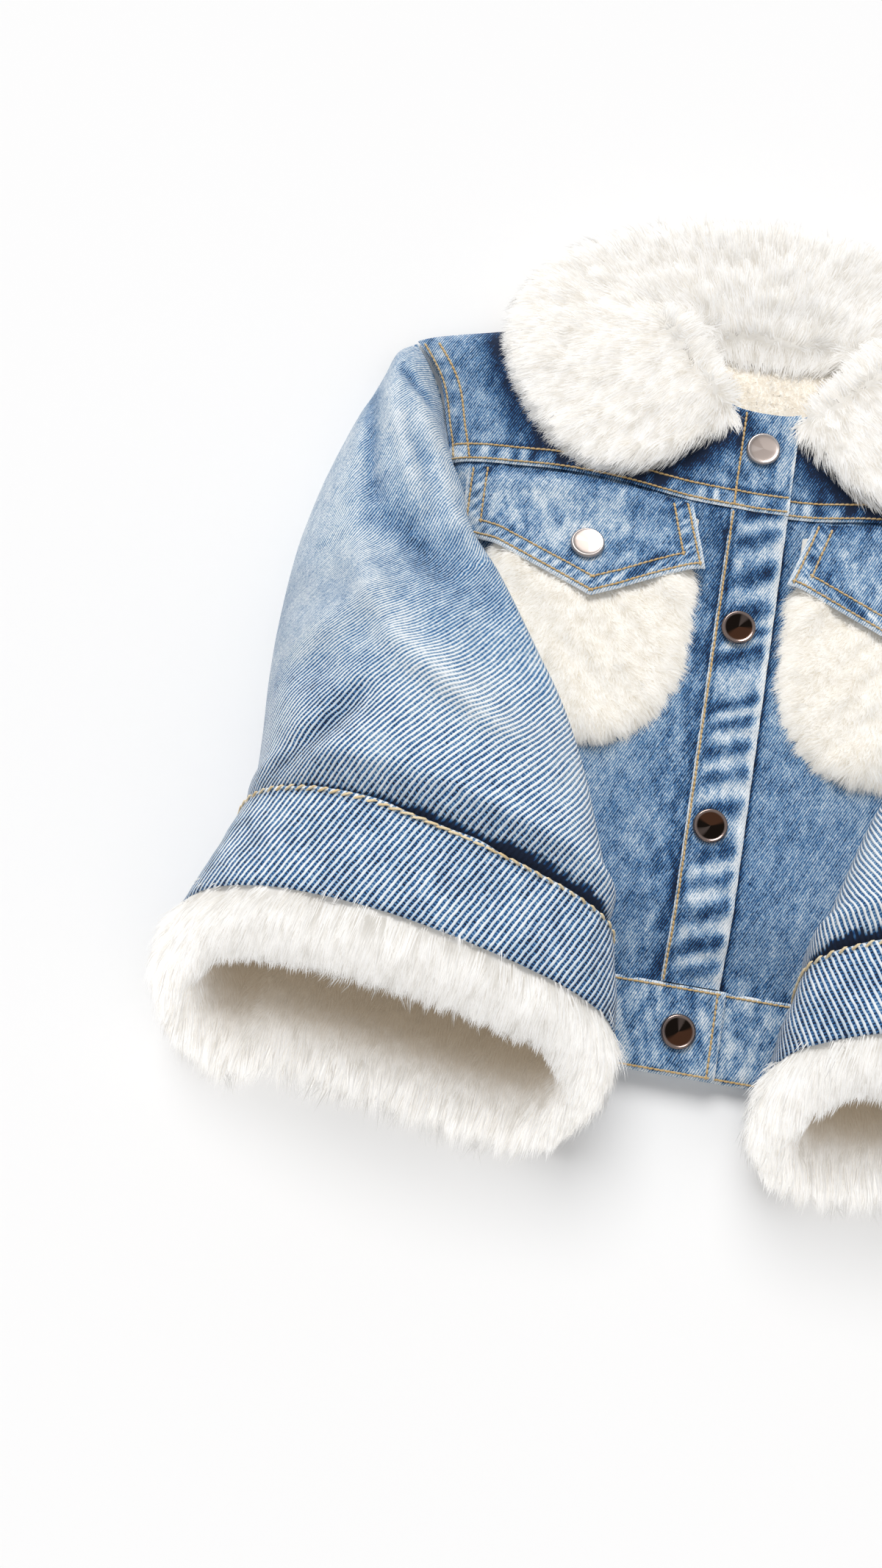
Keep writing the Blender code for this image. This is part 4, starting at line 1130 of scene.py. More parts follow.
white_plush = pile_finish("white_plush", (0.64, 0.59, 0.50), (0.90, 0.885, 0.855), 0.24)
plush_strand = make_strand("plush_strand", 0.40, white_plush, SHORT_HAIRS, 0)
flap_denim = washed_denim("washed_denim_flap", FLAP_ROWS, rim=0.45)

for name, mirror, laps in BOTH_SIDES:
    across = each_column(60, -1)
    across = np.sign(across) * np.abs(across) ** 0.85
    y = mix(POCKET_BOTTOM + 0.0012, POCKET_TOP, each_row(62) ** 1.25)
    drop = np.clip((POCKET_BOTTOM + POCKET_ROUND - y) / POCKET_ROUND, 0, 0.985)
    half = POCKET_HALF * (1 - drop**POCKET_SQUARE) ** (1 / POCKET_SQUARE) - 0.0010
    x = POCKET_X + half * across
    y = y * np.ones_like(x)
    to_side, to_foot = half - np.abs(x - POCKET_X), y - POCKET_BOTTOM
    rim = np.minimum(rolled(to_side, POCKET_RIM, 0.30), rolled(to_foot, POCKET_RIM, 0.30))
    down = 0.0016 * ease((0.212 - y) / 0.02)
    tufts = 0.0011 * cloud(x + 0.6 * y, 0.5 * y, 0.006, 51) + 0.0016 * cloud(x + 0.7 * y, 0.4 * y, 0.014, 52)
    height = (pocket_height(y) - down) * rim + tufts * rim * (down > 0)
    seat = CLOTH + 2 * LIE
    outer = on_front(x, y, seat + np.maximum(height, 0.001), laps)
    foot = on_front(x, y, seat, laps)
    lay = combed(outer, grid((x - POCKET_X) / POCKET_HALF * 1.6, -1.0, -0.2))
    open_part = ease((flap_inset(x, y) - 0.004) / -0.004) * ease((0.2150 - y) / 0.003)
    fringe = 1 - ease(np.minimum(to_side, to_foot) / 0.010)
    attributes = {"rise": 0.6, "lay": lay * (mirror, 1, 1), "thick": open_part, "long": 0.9 + 0.7 * fringe}
    pocket = shell(f"pocket_{name}_plush", outer, foot, white_plush, attributes, mirror)
    lay_sheet(outer, f"pocket_{name}")
    sizes = {"Seed": 7, "Density": 1.7e6, "Length": PLUSH, "Width": 0.00050, "Lean": 0.66}
    sizes.update({"Wild": 0.42, "Tuft": 0.0050, "Draw": 0.50})
    grow_pile(f"pocket_{name}_pile", pocket, plush_strand, white_plush, "white_pile", **sizes)

    def flap_surface(x, y):
        inset = flap_inset(x, y)
        puckers = 0.00025 * ripple(x + y, 0.009, 61) * hump(inset - 0.005, 0.003)
        drape = 0.0004 * cloud(x, y, 0.020, 62)
        return on_front(x, y, flap_height(x, y) + FLAP + puckers + drape - rounded_edge(inset, 0.0008), laps)

    share, across = each_row(56), each_column(84)
    top, foot = mix(FLAP_TOP_LEFT, FLAP_TOP_RIGHT, across), mix(FLAP_FOOT_LEFT, FLAP_FOOT_RIGHT, across)
    x = mix(top, foot, 1 - share)
    y = mix(flap_foot(across) + 0 * x, yoke_y(x) - 0.003, share)
    outer = flap_surface(x, y)
    inset = MM * flap_inset(x, y)
    shade = 0.26 * ripple(x - y, 0.0060, 61) * hump(inset - 5.2, 2.6) + 0.08 * cloud(x, y, 0.012, 63)
    shade = shade - 0.32 * hump(MM * (yoke_y(x) - y) - 3, 3.5) + 0.05 - 0.10 * ease((x + 0.075) / 0.03)
    shade = shade - 0.16 * hump(inset - 9.4, 1.2)
    wear = inset, shade, 0.34 * ease((inset - 1.5) / 2)
    node, under = f"flap_{name}", [f"pocket_{name}_plush"]
    denim_piece(f"pocket_flap_{name}", outer, FLAP_WALL, flap_denim, wear, node, under, "folded", mirror)
    paths, steps = [], np.linspace(0, 1, 40)
    for row in FLAP_ROWS:
        corners = inset_corners(FLAP_CORNERS, row / MM)
        for a, b in zip(corners, corners[1:]):
            x, y = mix(a[0], b[0], steps), mix(a[1], b[1], steps)
            keep = y < yoke_y(x) - 0.004
            paths.append(stitch_path(flap_surface, x[keep], y[keep]))
    sew(f"stitching_flap_{name}", paths, stitch_grain, ochre_thread, STITCH, mirror)

# ---- Collar --------------------------------------------------------------------------------------------
# Turned-down collar of long white pile: two round leaves over the yokes and one band behind the neck,
# sewn into the neck seam. The pile parts into soft tufts along its edge.

LEFT_LEAF_DOWN = -0.0285
BACK_NECK_LEVEL = 0.0093
COLLAR_PILE = 0.0095


def collar_rest(x, y, on_right, station):
    """What the collar lies on: the yokes, then the lining at the back neck, then the table behind."""
    over_lap = OVERLAP_RISE * ease((x - LEFT_LEAF_DOWN) / 0.012)
    lap = np.where(on_right, overlap_rise(x), over_lap)
    level = front_under(x, np.minimum(y, front_edge_y(x))) + lap + CLOTH + welt(x, y) + 2 * LIE
    level = mix(level, BACK_NECK_LEVEL, ease((0.036 - np.abs(x)) / 0.010) * (station > 0.7))
    return mix(level, 0, ease((y - back_edge_y(x) - 0.005) / 0.016))


white_pile = pile_finish("white_pile", (0.64, 0.605, 0.545), (0.90, 0.89, 0.875), 0.25)
pile_strand = make_strand("pile_strand", 0.40, white_pile, LONG_HAIRS)
stations = np.concatenate([np.linspace(0, 1, 90), np.linspace(1, 0, 90)[1:]])[None, :]
on_right = np.concatenate([np.ones(90), -np.ones(89)])[None, :]
inner_x, inner_y, outer_x, outer_y, crest = (
    read(COLLAR, column, stations) for column in ("inner_x", "inner_y", "outer_x", "outer_y", "top")
)
width = np.hypot(inner_x - outer_x, inner_y - outer_y)
trim = np.minimum(0.0040 / width, 0.25)
share = mix(trim * 0.5, 1 - trim * 1.7, each_row(44))
x, y = mix(inner_x, outer_x, share), mix(inner_y, outer_y, share)
foot_z = collar_rest(x, y, on_right > 0, stations)
rim = rolled(np.minimum(share, 1 - share) * width, 0.014, 0.32) * rolled(stations, 0.12, 0.5)
behind = ease((stations - 0.62) / 0.3)
lean = mix(1, mix(0.45, 1, ease(share / 0.45)), behind)
rise = np.maximum((crest - foot_z) * rim * lean, 0.004)
lumps = cloud(x * on_right, y, 0.009, 71) * 0.0012 + cloud(x * on_right, y, 0.0045, 72) * 0.0006
top_z = foot_z + np.maximum(rise * 0.80 - 0.0015 + lumps * rim, 0.0022)
outer, foot = grid(x * on_right, y, top_z), grid(x * on_right, y, foot_z)
out_way = unit(grid((outer_x - inner_x) * on_right, outer_y - inner_y, 0))
way = out_way * mix(-0.25, 1.0, ease((share - 0.08) / 0.25))[..., None]
way = way + grid(on_right, -1.0, 0) * (1 - ease(stations / 0.10))[..., None]
lay = combed(outer, way + (0, 0, -0.25)) + out_way * (0.7 * ease((share - 0.75) / 0.2))[..., None]
fringe = ease((share - 0.80) / 0.15)
attributes = {"rise": 0.45, "lay": lay, "thick": 0.42 + 2.2 * fringe, "long": 0.82 + 0.25 * fringe}
collar = shell("collar_pile_base", outer, foot, white_pile, attributes, step=2)
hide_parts("collar")
sizes = {"Length": COLLAR_PILE, "Width": 0.00060, "Lean": 0.70, "Wild": 0.26, "Tuft": 0.0050, "Draw": 0.35}
grow_pile("collar_pile", collar, pile_strand, white_pile, "white_pile", Seed=11, Density=1.06e6, **sizes)

# ---- Sleeves and cuffs ---------------------------------------------------------------------------------
# Each sleeve is one tube of washed twill, heavily creased from the wash, that ends in a wide folded cuff
# sewn on with a thick cream stitch. White pile lines the cuff and rolls out over its edge.

AROUND, RINGS = 132, 140
CREST_LEFT, CREST_RIGHT = 0.95, 0.56
FOOT_SQUARE = 2.5
LEFT_FOLDS = 0.85
SLEEVE_LONG, CUFF_DEEP, CUFF_PILE = 0.210, 0.044, 0.0135
SLEEVE_WALL, CUFF_WALL = 0.0012, 0.0015
CUFF_ROW = 2.6
CREAM, PALE_CREAM = (0.74, 0.52, 0.24), (0.92, 0.80, 0.56)
CUFF_STITCH = {"Pitch": 0.0050, "Length": 0.0062, "Width": 0.0013, "Slant": 0.16}
SLEEVE = columns(
    "s left_x left_y left_z right_x right_y right_z top lean sag bow",
    (0.00, -0.1608, 0.3062, 0.0042, -0.1378, 0.2535, 0.0042, 0.0076, 0.00, 0.00, 0.0042),
    (0.05, -0.1668, 0.2985, 0.0100, -0.1345, 0.2460, 0.0180, 0.0225, 0.00, 0.00, 0.0020),
    (0.12, -0.1712, 0.2830, 0.0130, -0.1280, 0.2340, 0.0270, 0.0330, 0.05, 0.05, 0.0005),
    (0.22, -0.1795, 0.2580, 0.0170, -0.1200, 0.2115, 0.0350, 0.0440, 0.10, 0.09, 0),
    (0.34, -0.1880, 0.2240, 0.0210, -0.1035, 0.1895, 0.0400, 0.0530, 0.15, 0.13, 0),
    (0.46, -0.1925, 0.1930, 0.0260, -0.0860, 0.1620, 0.0440, 0.0610, 0.22, 0.20, 0),
    (0.58, -0.1937, 0.1610, 0.0300, -0.0705, 0.1365, 0.0470, 0.0690, 0.30, 0.27, 0),
    (0.70, -0.1928, 0.1330, 0.0340, -0.0590, 0.1110, 0.0500, 0.0770, 0.38, 0.34, 0),
    (0.82, -0.1905, 0.1060, 0.0360, -0.0508, 0.0863, 0.0530, 0.0855, 0.44, 0.40, 0),
    (0.93, -0.1900, 0.0860, 0.0380, -0.0435, 0.0620, 0.0550, 0.0910, 0.48, 0.43, 0),
    (1.00, -0.1922, 0.0738, 0.0415, -0.0380, 0.0440, 0.0550, 0.0865, 0.50, 0.45, 0),
)
CUFF = columns(
    "t left_x left_y left_z right_x right_y right_z top lean sag bow",
    (-1.80, -0.1880, 0.1530, 0.0340, -0.0650, 0.1180, 0.0500, 0.0680, 0.40, 0.36, 0),
    (-0.90, -0.1880, 0.1130, 0.0380, -0.0500, 0.0800, 0.0530, 0.0780, 0.46, 0.41, 0),
    (0.00, -0.1924, 0.0736, 0.0415, -0.0380, 0.0438, 0.0550, 0.0865, 0.50, 0.45, 0),
    (0.35, -0.1980, 0.0570, 0.0430, -0.0345, 0.0285, 0.0530, 0.0895, 0.50, 0.46, 0),
    (1.00, -0.2090, 0.0290, 0.0450, -0.0310, 0.0020, 0.0470, 0.0945, 0.50, 0.48, 0),
    (1.70, -0.2200, -0.0020, 0.0420, -0.0275, -0.0200, 0.0420, 0.0900, 0.48, 0.85, 0),
)
FLEECE_LIP = columns(  # how the fleece runs inside the cuff, rolls over its edge and turns back in
    "k t inset under",
    (0, -1.75, 0.0075, 0.0030),
    (1, -0.90, 0.0060, 0.0030),
    (2, -0.10, 0.0045, 0.0020),
    (3, 0.45, 0.0033, 0.0012),
    (4, 1.02, 0.0033, 0.0010),
    (5, 1.12, -0.0010, 0.0000),
    (6, 1.36, -0.0005, 0.0005),
    (7, 1.56, 0.0035, 0.0000),
    (8, 1.66, 0.0090, 0.0000),
    (9, 1.62, 0.0150, 0.0000),
    (10, 1.42, 0.0200, 0.0020),
    (11, 1.05, 0.0225, 0.0030),
    (12, 0.50, 0.0230, 0.0030),
    (13, -0.30, 0.0225, 0.0030),
    (14, -1.10, 0.0220, 0.0030),
    (15, -1.75, 0.0215, 0.0030),
)
# Each fold's shade is painted: painted shade along troughs, painted highlight along ridges.
FOLDS = (  # half width, rise, shade, then its course in plan down the right sleeve
    (
        0.0040, -0.0045, -0.28,
        ((-0.1745, 0.287), (-0.1750, 0.280), (-0.1706, 0.253), (-0.1657, 0.226), (-0.162, 0.214)),
    ),
    (
        0.0080, -0.0055, -0.27,
        ((-0.1640, 0.222), (-0.1560, 0.207), (-0.1405, 0.196), (-0.1243, 0.182), (-0.110, 0.172)),
    ),
    (
        0.0044, 0.0034, 0.20,
        ((-0.1660, 0.282), (-0.1633, 0.265), (-0.1560, 0.246), (-0.1495, 0.229), (-0.141, 0.214)),
    ),
    (
        0.0052, 0.0036, 0.18,
        ((-0.1530, 0.268), (-0.1490, 0.260), (-0.1380, 0.241), (-0.1264, 0.212), (-0.110, 0.192)),
    ),
    (
        0.0026, -0.0032, -0.30,
        ((-0.1640, 0.290), (-0.1621, 0.284), (-0.1550, 0.276), (-0.1475, 0.268)),
    ),
    (0.0070, -0.0022, -0.14, ((-0.1200, 0.200), (-0.1080, 0.180), (-0.0958, 0.163))),
    (
        0.0085, 0.0055, 0.10,
        ((-0.1680, 0.196), (-0.1585, 0.177), (-0.1405, 0.151), (-0.1225, 0.1415), (-0.0986, 0.125)),
    ),
    (0.0080, 0.0045, 0.08, ((-0.1800, 0.143), (-0.1620, 0.162), (-0.1540, 0.173))),
    (0.0120, -0.0030, -0.13, ((-0.1810, 0.137), (-0.1650, 0.126), (-0.1491, 0.116))),
    (
        0.0050, -0.0056, -0.26,
        ((-0.1860, 0.084), (-0.1690, 0.100), (-0.1579, 0.1116), (-0.1479, 0.1251)),
    ),
    (
        0.0090, 0.0040, 0.10,
        ((-0.1400, 0.146), (-0.1130, 0.132), (-0.0910, 0.120), (-0.0720, 0.110)),
    ),
)
TWILL_TURN = (
    (-0.1600, 0.1720),
    (-0.1490, 0.1580),
    (-0.1405, 0.1512),
    (-0.1272, 0.1428),
    (-0.1132, 0.1301),
    (-0.0987, 0.1220),
    (-0.0850, 0.1150),
    (-0.0700, 0.1080),
)
TURN_REACH, TURN_STEP = 0.0065, 2.0
UPPER_LEAN, LOWER_LEAN = math.radians(56), math.radians(45)
TWILL_MIDDLE = 0.052  # where, square to the lines, a change of pitch leaves them in place
CUFF_LEAN = math.radians(66.6)
CUFF_TWILL = 0.00224
COARSE_PITCH, FINE_PITCH = 0.00200, 0.00095


def rest_height(x, y):
    """Smooth cover over what a sleeve lies on: table, body, pocket and flap."""
    side = np.maximum(half_width(y), np.maximum(half_width(y - 0.014), half_width(y + 0.014)))
    inside = ease((side + 0.021 + x) / 0.019) * ease((y + 0.021) / 0.019)
    level = mix(0.0108, 0.0178, ease((y - 0.012) / 0.045))
    pocket = ease((POCKET_HALF + 0.022 - np.abs(x - POCKET_X)) / 0.016) * ease((y - 0.112) / 0.018)
    flap = ease((x + 0.142) / 0.014) * ease((y - 0.185) / 0.014) * ease((0.262 - y) / 0.014)
    return level * inside + 0.0128 * pocket + 0.0030 * flap


def fold_rise(x, y, strength):
    """Ridges and troughs laid down the sleeve, with small creases between them."""
    rise = np.zeros_like(x)
    for width, height, _, course in FOLDS:
        nearest, along = near_course(x, y, course)
        rise += strength * height * mix(0.45, 1, np.sin(np.pi * along)) * hump(nearest, width)
    return rise + 0.0011 * cloud(x, y, 0.015, 81) + 0.0005 * cloud(x, y, 0.006, 82)


def ring_angles(sides):
    """Turn of each point round a ring, from the foot of its left edge."""
    return 2 * np.pi * (np.arange(sides) + 0.5) / sides - np.pi / 2


def section(values, at, key, inset, around, under=0, folds=0.0):
    """Rings of a tube: domed above, flat below on what carries it, leaning back from foot to crest."""
    at = np.reshape(at, (len(at), -1)).astype(float)
    inset = np.reshape(inset, (len(at), -1)) * np.ones((1, around))
    left, right = (grid(*(read(values, f"{end}_{c}", at, key) for c in "xyz")) for end in ("left", "right"))
    top, lean, sag, bow = (read(values, column, at, key) for column in ("top", "lean", "sag", "bow"))
    along = unit((right - left) * (1, 1, 0))
    back = grid(-along[..., 1], along[..., 0], 0)
    left = left + along * inset[..., None]
    right = right - along * inset[..., None]
    angle = ring_angles(around)[None, :]
    across = (1 - np.cos(angle)) / 2
    height = np.abs(np.sin(angle))
    plan = mix(left, right, across[..., None]) + back * (bow * height**2)[..., None]
    middle = plan[..., 2]
    flat = 1 - (1 - height) ** FOOT_SQUARE
    rise = (top - inset - middle) * height ** mix(CREST_LEFT, CREST_RIGHT, across)
    crest = plan + back * (lean * rise)[..., None]
    crest[..., 2] = middle + rise
    if folds:
        crest[..., 2] += fold_rise(crest[..., 0], crest[..., 1], folds) * np.sqrt(height)
    drop = middle - rest_height(plan[..., 0], plan[..., 1]) - inset
    foot = plan - back * (sag * drop * flat)[..., None]
    low = np.maximum(rest_height(foot[..., 0], foot[..., 1]), 0) + inset + np.reshape(under, (-1, 1))
    foot[..., 2] = middle - np.maximum(middle - low, 0.0006) * flat
    return np.where((np.sin(angle) > 0)[..., None], crest, foot)


def tube_weave(rings, pitch_at, lean_at, coarse_at):
    """Twill that runs round a tube: its lines follow the cloth, laid flat from the crest both ways."""
    crest = rings.shape[1] // 2
    ends = rings[[0, -1]].mean(axis=1)
    axis = unit(ends[1] - ends[0])
    up = (rings - ends[0]) @ axis
    steps = np.diff(rings, axis=1)
    girth = np.sqrt(np.maximum((steps**2).sum(-1) - (steps @ axis) ** 2, 0))
    girth = np.concatenate([0 * girth[:, :1], np.cumsum(girth, axis=1)], axis=1)
    girth = girth - girth[:, crest : crest + 1]
    over = np.diff(rings[:, crest], axis=0)
    girth[1:] += np.cumsum(over @ np.cross((0, 0, 1), axis) * -1)[:, None]
    lean = lean_at(up)
    square = up * np.cos(lean) - girth * np.sin(lean)
    along = girth * np.cos(lean) + up * np.sin(lean)
    lines = (square - TWILL_MIDDLE) / pitch_at(up)
    return np.stack([lines, along / THREAD_BEAD, coarse_at(up)], -1)


sleeve_denim = washed_denim("washed_denim_sleeve", rim=0.25, mottled=0.30)
cuff_denim = washed_denim("washed_denim_cuff", (CUFF_ROW,), rim=0.20, mottled=0.40)
cream_thread = thread_finish("cream_thread", CREAM, PALE_CREAM)
thick_grain = make_grain("thick_grain", cream_thread)
cuff_pile = pile_finish("cuff_pile", (0.58, 0.555, 0.51), (0.89, 0.88, 0.865), 0.33)
cuff_strand = make_strand("cuff_strand", 0.30, cuff_pile, LONG_HAIRS)

for (name, mirror, _), strength in zip(BOTH_SIDES, (1.0, LEFT_FOLDS)):
    middle, foot = np.linspace(0.05, 0.95, RINGS - 20), np.linspace(0.954, 1, 16)
    stations = np.concatenate([[0, 0.01, 0.02, 0.035], middle, foot])
    angle = ring_angles(AROUND)
    rightward = ease((1 - np.cos(angle)) / 2)[None, :]
    swell = hump(stations - 0.945, 0.022)[:, None] * mix(0.0012, 0.0030, rightward)
    roll = ease((stations - 0.965) / 0.035)[:, None] ** 1.5 * mix(0.0030, 0.0056, rightward) - swell
    outer = section(SLEEVE, stations, "s", roll, AROUND, folds=strength)[::-1]
    x, y = outer[..., 0], outer[..., 1]
    weave = tube_weave(
        outer,
        lambda v: mix(COARSE_PITCH, FINE_PITCH, ease((v - 0.050) / 0.085)),
        lambda v: mix(LOWER_LEAN, UPPER_LEAN, ease((v - 0.06) / 0.15)),
        lambda v: 1 - 0.72 * ease((v - 0.050) / 0.045) - 0.20 * ease((v - 0.11) / 0.06),
    )
    to_cuff = MM * SLEEVE_LONG * (1 - stations[::-1])[:, None] + 0 * x
    # Painted shade in the groove where the sleeve swells over the cuff, widest on the right, over dye left
    # dark there.
    reach = mix(0.8, 3.8, rightward) * (1 + 0.35 * cloud(x, y, 0.0025, 87))
    shade = -1.0 * (1 - ease((to_cuff - reach) / 1.6)) - 0.12 * hump(to_cuff, 9)
    # Random tone, and painted light on the upper left flank, which faces the light.
    shade = shade + 0.07 * cloud(x, y, 0.02, 83) + 0.09 * ease((-0.150 - x) / 0.03) * ease((y - 0.11) / 0.05)
    shade = shade + 0.02 * ease((y - 0.15) / 0.05)
    onto = ease(np.sin(angle) * 3)[None, :]
    # Painted shade along each trough and painted highlight along each ridge.
    for fold, _, tone, course in FOLDS:
        nearest, along = near_course(x, y, course)
        fall = fold * (0.85 + 0.3 * cloud(x, y, 0.006, 88))
        shade = shade + tone * hump(nearest, fall) * mix(0.35, 1, np.sin(np.pi * along)) * onto
    nearest, along = near_course(x, y, TWILL_TURN)
    beyond = np.sign(y - np.interp(x, *zip(*TWILL_TURN)))
    weave[..., 0] += TURN_STEP * np.tanh(beyond * nearest / TURN_REACH) * np.sin(np.pi * along) * onto
    # Painted highlight along the crest where the twill turns.
    shade = shade + 0.16 * hump(nearest, 0.0012) * np.sin(np.pi * along) * onto + 0.09
    wear, node = (to_cuff + 50, shade, 0.05), f"sleeve_{name}"
    placing = [f"panel_{name}"], "laid", mirror, weave
    denim_piece(f"{node}_tube", outer, SLEEVE_WALL, sleeve_denim, wear, node, *placing)

    top, middle, foot = np.linspace(-0.02, 0.08, 8), np.linspace(0.1, 0.92, 34), np.linspace(0.94, 1.0, 6)
    stations = np.concatenate([top, middle, foot])
    lip = 0.0010 * (1 - rolled(stations + 0.02, 0.06)) + 0.0008 * (1 - rolled(1.0 - stations, 0.05))
    outer = section(CUFF, stations, "t", lip, AROUND)
    x, y = outer[..., 0], outer[..., 1]
    bumps = 0.0005 * cloud(x, y, 0.012, 84) + 0.0003 * cloud(x, y, 0.006, 85)
    outer = (outer + outward(outer[::-1], True)[::-1] * bumps[..., None])[::-1]
    x, y = outer[..., 0], outer[..., 1]
    weave = tube_weave(outer, lambda v: CUFF_TWILL, lambda v: CUFF_LEAN, lambda v: 1 + 0 * v)
    down = MM * CUFF_DEEP * stations[::-1][:, None] + 0 * x
    shade = 0.06 * cloud(x, y, 0.015, 86) - 0.10 * hump(down - MM * CUFF_DEEP, 3) - 0.06
    wear, node = (down, shade, 0.06), f"cuff_band_{name}"
    placing = [f"hem_{name}"], "folded", mirror, weave
    denim_piece(f"cuff_{name}_band", outer, CUFF_WALL, cuff_denim, wear, node, *placing)

    ring = section(CUFF, [0.030], "t", [-0.0004], 240)[0]
    away = unit(ring - ring.mean(axis=0))
    path = np.append(ring, ring[:1], 0), np.append(away, away[:1], 0)
    sew(f"stitching_cuff_{name}", [path], thick_grain, cream_thread, CUFF_STITCH, mirror)

    k = np.concatenate([np.linspace(0, 4, 8), np.linspace(4.2, 12, 42), np.linspace(12.5, 15, 7)])[:, None]
    t, inset, under = (read(FLEECE_LIP, column, k, "k") for column in ("t", "inset", "under"))
    outside = ease((k - 4.0) / 0.8) * (1 - ease((k - 9.0) / 2.5))
    inside = ease((k - 8.5) / 2.0)
    above = ease(np.sin(ring_angles(100)) * 1.4)[None, :]
    t = t - outside * mix(0.12, 0.30, above)
    inset = inset + outside * mix(0.0015, 0.0038, above) - 0.0035 * inside
    rings = section(CUFF, t, "t", inset, 100, under)
    rings[..., 2] = np.maximum(rings[..., 2], 0.0012)
    bumps = cloud(rings[..., 0], rings[..., 1], 0.010, 91) * 0.0010 * np.maximum(outside, inside)
    rings[..., 2] = rings[..., 2] + bumps
    lay = combed(rings[::-1], np.array([-0.12, -1.0, -0.70]), True)[::-1] * mix(1, 0.45, inside)[..., None]
    thick = np.where(k < 9, ease((t - 1.01) / 0.05), 0.55 * ease((t + 0.6) / 0.5))
    # Painted shade inside the cuff's opening, strongest under its upper lip.
    deep = inside * mix(0.28 + 0.5 * ease((1.45 - t) / 0.5), 0.9, above) + 0.15 * inside
    long = mix(1.05, 0.80, ease((k - 5.0) / 2.0) * above) * mix(1, 0.35, ease(inside * 1.3 - 0.15))
    # More painted light given off by the shaded underside of the lip.
    below = (1 - above) * ease((k - 5) / 2) * (1 - 0.4 * deep)
    long = long * (1 + 0.28 * below)
    fields = {"rise": 0.45 + 0 * t, "deep": deep, "lay": lay * (mirror, 1, 1)}
    fields.update({"thick": thick, "long": long, "below": below})
    index = np.arange(rings[..., 0].size).reshape(rings.shape[:2])
    faces = quads(closed(np.concatenate([index, index[:1]], axis=0)), flipped=True)
    layers = {key: values.reshape(index.size, *values.shape[2:]) for key, values in fields.items()}
    points = rings.reshape(-1, 3) * (mirror, 1, 1)
    faces = [face[::mirror] for face in faces]
    lining = add_piece(f"cuff_{name}_pile_base", points, faces, cuff_pile, layers)
    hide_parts(f"cuff_lining_{name}")
    sizes = {"Seed": 21, "Density": 0.86e6, "Length": CUFF_PILE, "Width": 0.00055, "Lean": 0.76}
    sizes.update({"Wild": 0.22, "Tuft": 0.0060, "Draw": 0.24})
    grow_pile(f"cuff_{name}_pile", lining, cuff_strand, cuff_pile, "white_pile", **sizes)

# ---- Snaps ---------------------------------------------------------------------------------------------
# Pressed metal caps, 15 mm across, each a shallow dish inside a rounded rim: four down the front and one
# in each flap. Those at the neck and on the flaps are rose-grey, the others dark gunmetal.

SNAP_RADIUS, SNAP_HEIGHT = 0.0074, 0.0022
SNAP_SIDES = 56
FRONT_SNAPS_Y = {"snap_neck": 0.2750, "snap_chest": 0.1925, "snap_waist": 0.1050, "snap_hem": 0.0185}
FLAP_SNAP = (-0.0700, 0.2165)
SNAP_CAP = columns(
    "radius height",
    (0.90, 0.00),
    (0.97, 0.10),
    (1.00, 0.30),
    (1.00, 0.50),
    (0.985, 0.72),
    (0.95, 0.90),
    (0.91, 0.985),
    (0.88, 1.00),
    (0.85, 0.975),
    (0.82, 0.94),
    (0.78, 0.915),
    (0.70, 0.90),
    (0.55, 0.89),
    (0.38, 0.885),
    (0.20, 0.88),
    (0.07, 0.88),
)


def cap_metal(name, colour, dark, pale, roughness, seen):
    """Plated cap with a painted reflection: dark and light in a fan across its dish and a pale painted
    highlight on its rim and in a narrow ray; each cap's turned its own way.
    """
    material, recipe = new_material(name, roughness, metallic=1.0)
    across, up, rim = recipe.parts(recipe.attribute("disc", "Vector"))
    place = recipe.place()
    fine = recipe.speckle(place, 2400.0)
    turned = (recipe.speckle(place, 9.0, 0.0) - 0.5) * 9.0
    bearing = across.work("ARCTAN2", up) + turned
    tint = recipe.blend(recipe.gate(bearing.work("SINE"), 0.1, 0.5), dark, colour)
    painted_beam = recipe.gate((bearing + 0.9).work("COSINE"), 0.90, 1.0) * seen
    tint = recipe.blend(painted_beam, tint, pale)
    recipe.feed("Base Color", recipe.blend(recipe.gate(rim, 0.74, 0.84), tint, pale))
    recipe.feed("Roughness", roughness + (fine - 0.5) * 0.02)
    recipe.bump(fine, 0.05, 0.00004)
    return material


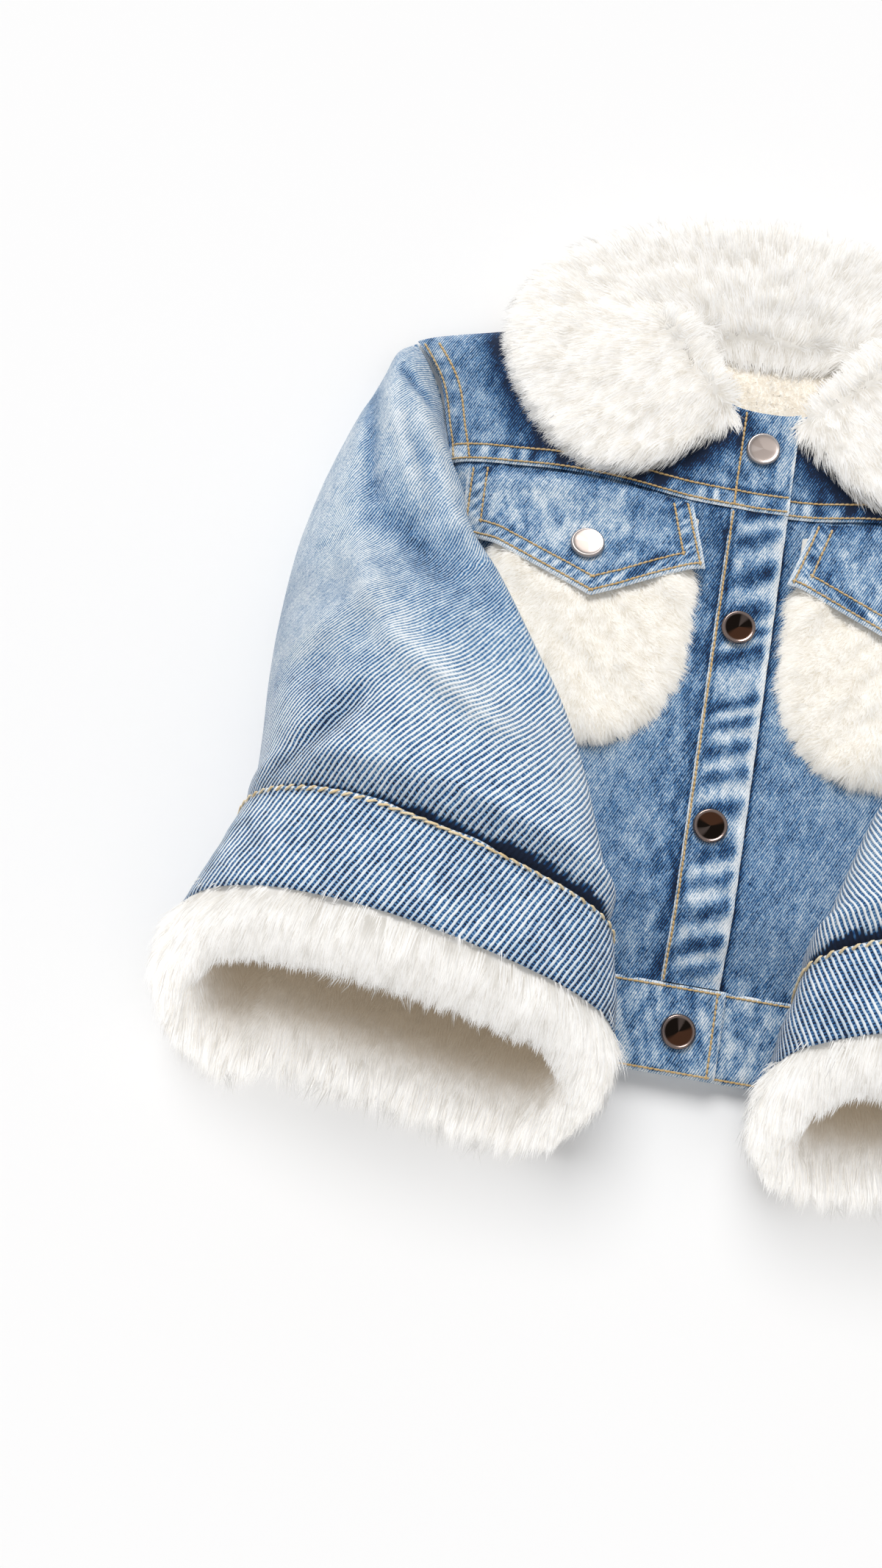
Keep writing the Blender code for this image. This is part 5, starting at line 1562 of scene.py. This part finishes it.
# Each: the light and dark of the painted reflection fan, the pale of the painted highlights, roughness, and
# how strong the painted ray is.
METALS = {
    name: cap_metal(name, *finish)
    for name, *finish in (
        ("rose_metal", (0.39, 0.33, 0.30), (0.31, 0.26, 0.235), (0.50, 0.445, 0.42), 0.30, 0.4),
        ("gunmetal", (0.085, 0.038, 0.022), (0.014, 0.010, 0.008), (0.26, 0.20, 0.18), 0.18, 0.35),
    )
}


def add_snap(name, place, normal, slot):
    out = unit(normal)
    side = unit(np.cross((0, 1, 0), out))
    angle = 2 * np.pi * np.arange(SNAP_SIDES)[None, :] / SNAP_SIDES
    radius = SNAP_RADIUS * SNAP_CAP["radius"][:, None]
    rise = SNAP_HEIGHT * SNAP_CAP["height"][:, None] + 0 * angle
    rings = grid(radius * np.cos(angle), radius * np.sin(angle), rise).reshape(-1, 3)
    disc = grid(rings[:, 0], rings[:, 1], np.hypot(rings[:, 0], rings[:, 1])) / SNAP_RADIUS
    points = rings @ np.stack([side, np.cross(out, side), out]) + place
    faces = drum(len(radius), SNAP_SIDES)
    piece = add_piece(name + "_cap", points, faces, METALS[slot], {"disc": disc})
    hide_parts(name)


for name, y in FRONT_SNAPS_Y.items():
    at_neck = name == "snap_neck"
    place = on_front(0.0, y, (CLOTH if at_neck else BAND) + LIE, True)
    normal = grid(-front_tilt(0.0, y, True), 0, 1)
    if name == "snap_hem":
        place = np.array([0, y, BAND + SEAM + BAND_RISE + OVERLAP_RISE + BAND + LIE])
        normal = np.array([0, 0, 1])
    add_snap(name, place, normal, "rose_metal" if at_neck else "gunmetal")
for name, mirror, laps in BOTH_SIDES:
    x, y = FLAP_SNAP
    place = on_front(x, y, flap_height(x, y) + FLAP + LIE, laps)
    step = 0.004
    near_x, near_y = x + np.array([-step, step, 0, 0]), y + np.array([0, 0, -step, step])
    rise = flap_height(near_x, near_y) + front_under(near_x, near_y, laps)
    normal = np.array([rise[0] - rise[1], rise[2] - rise[3], 2 * step])
    add_snap(f"snap_flap_{name}", place * (mirror, 1, 1), normal * (mirror, 1, 1), "rose_metal")

for pattern in (sherpa_curl, plush_strand, pile_strand, cuff_strand, stitch_grain, thick_grain):
    bpy.data.objects.remove(pattern)

sizes = {"cad": [list(corner) for corner in CAD_BOX], "visual": [list(corner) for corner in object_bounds()]}
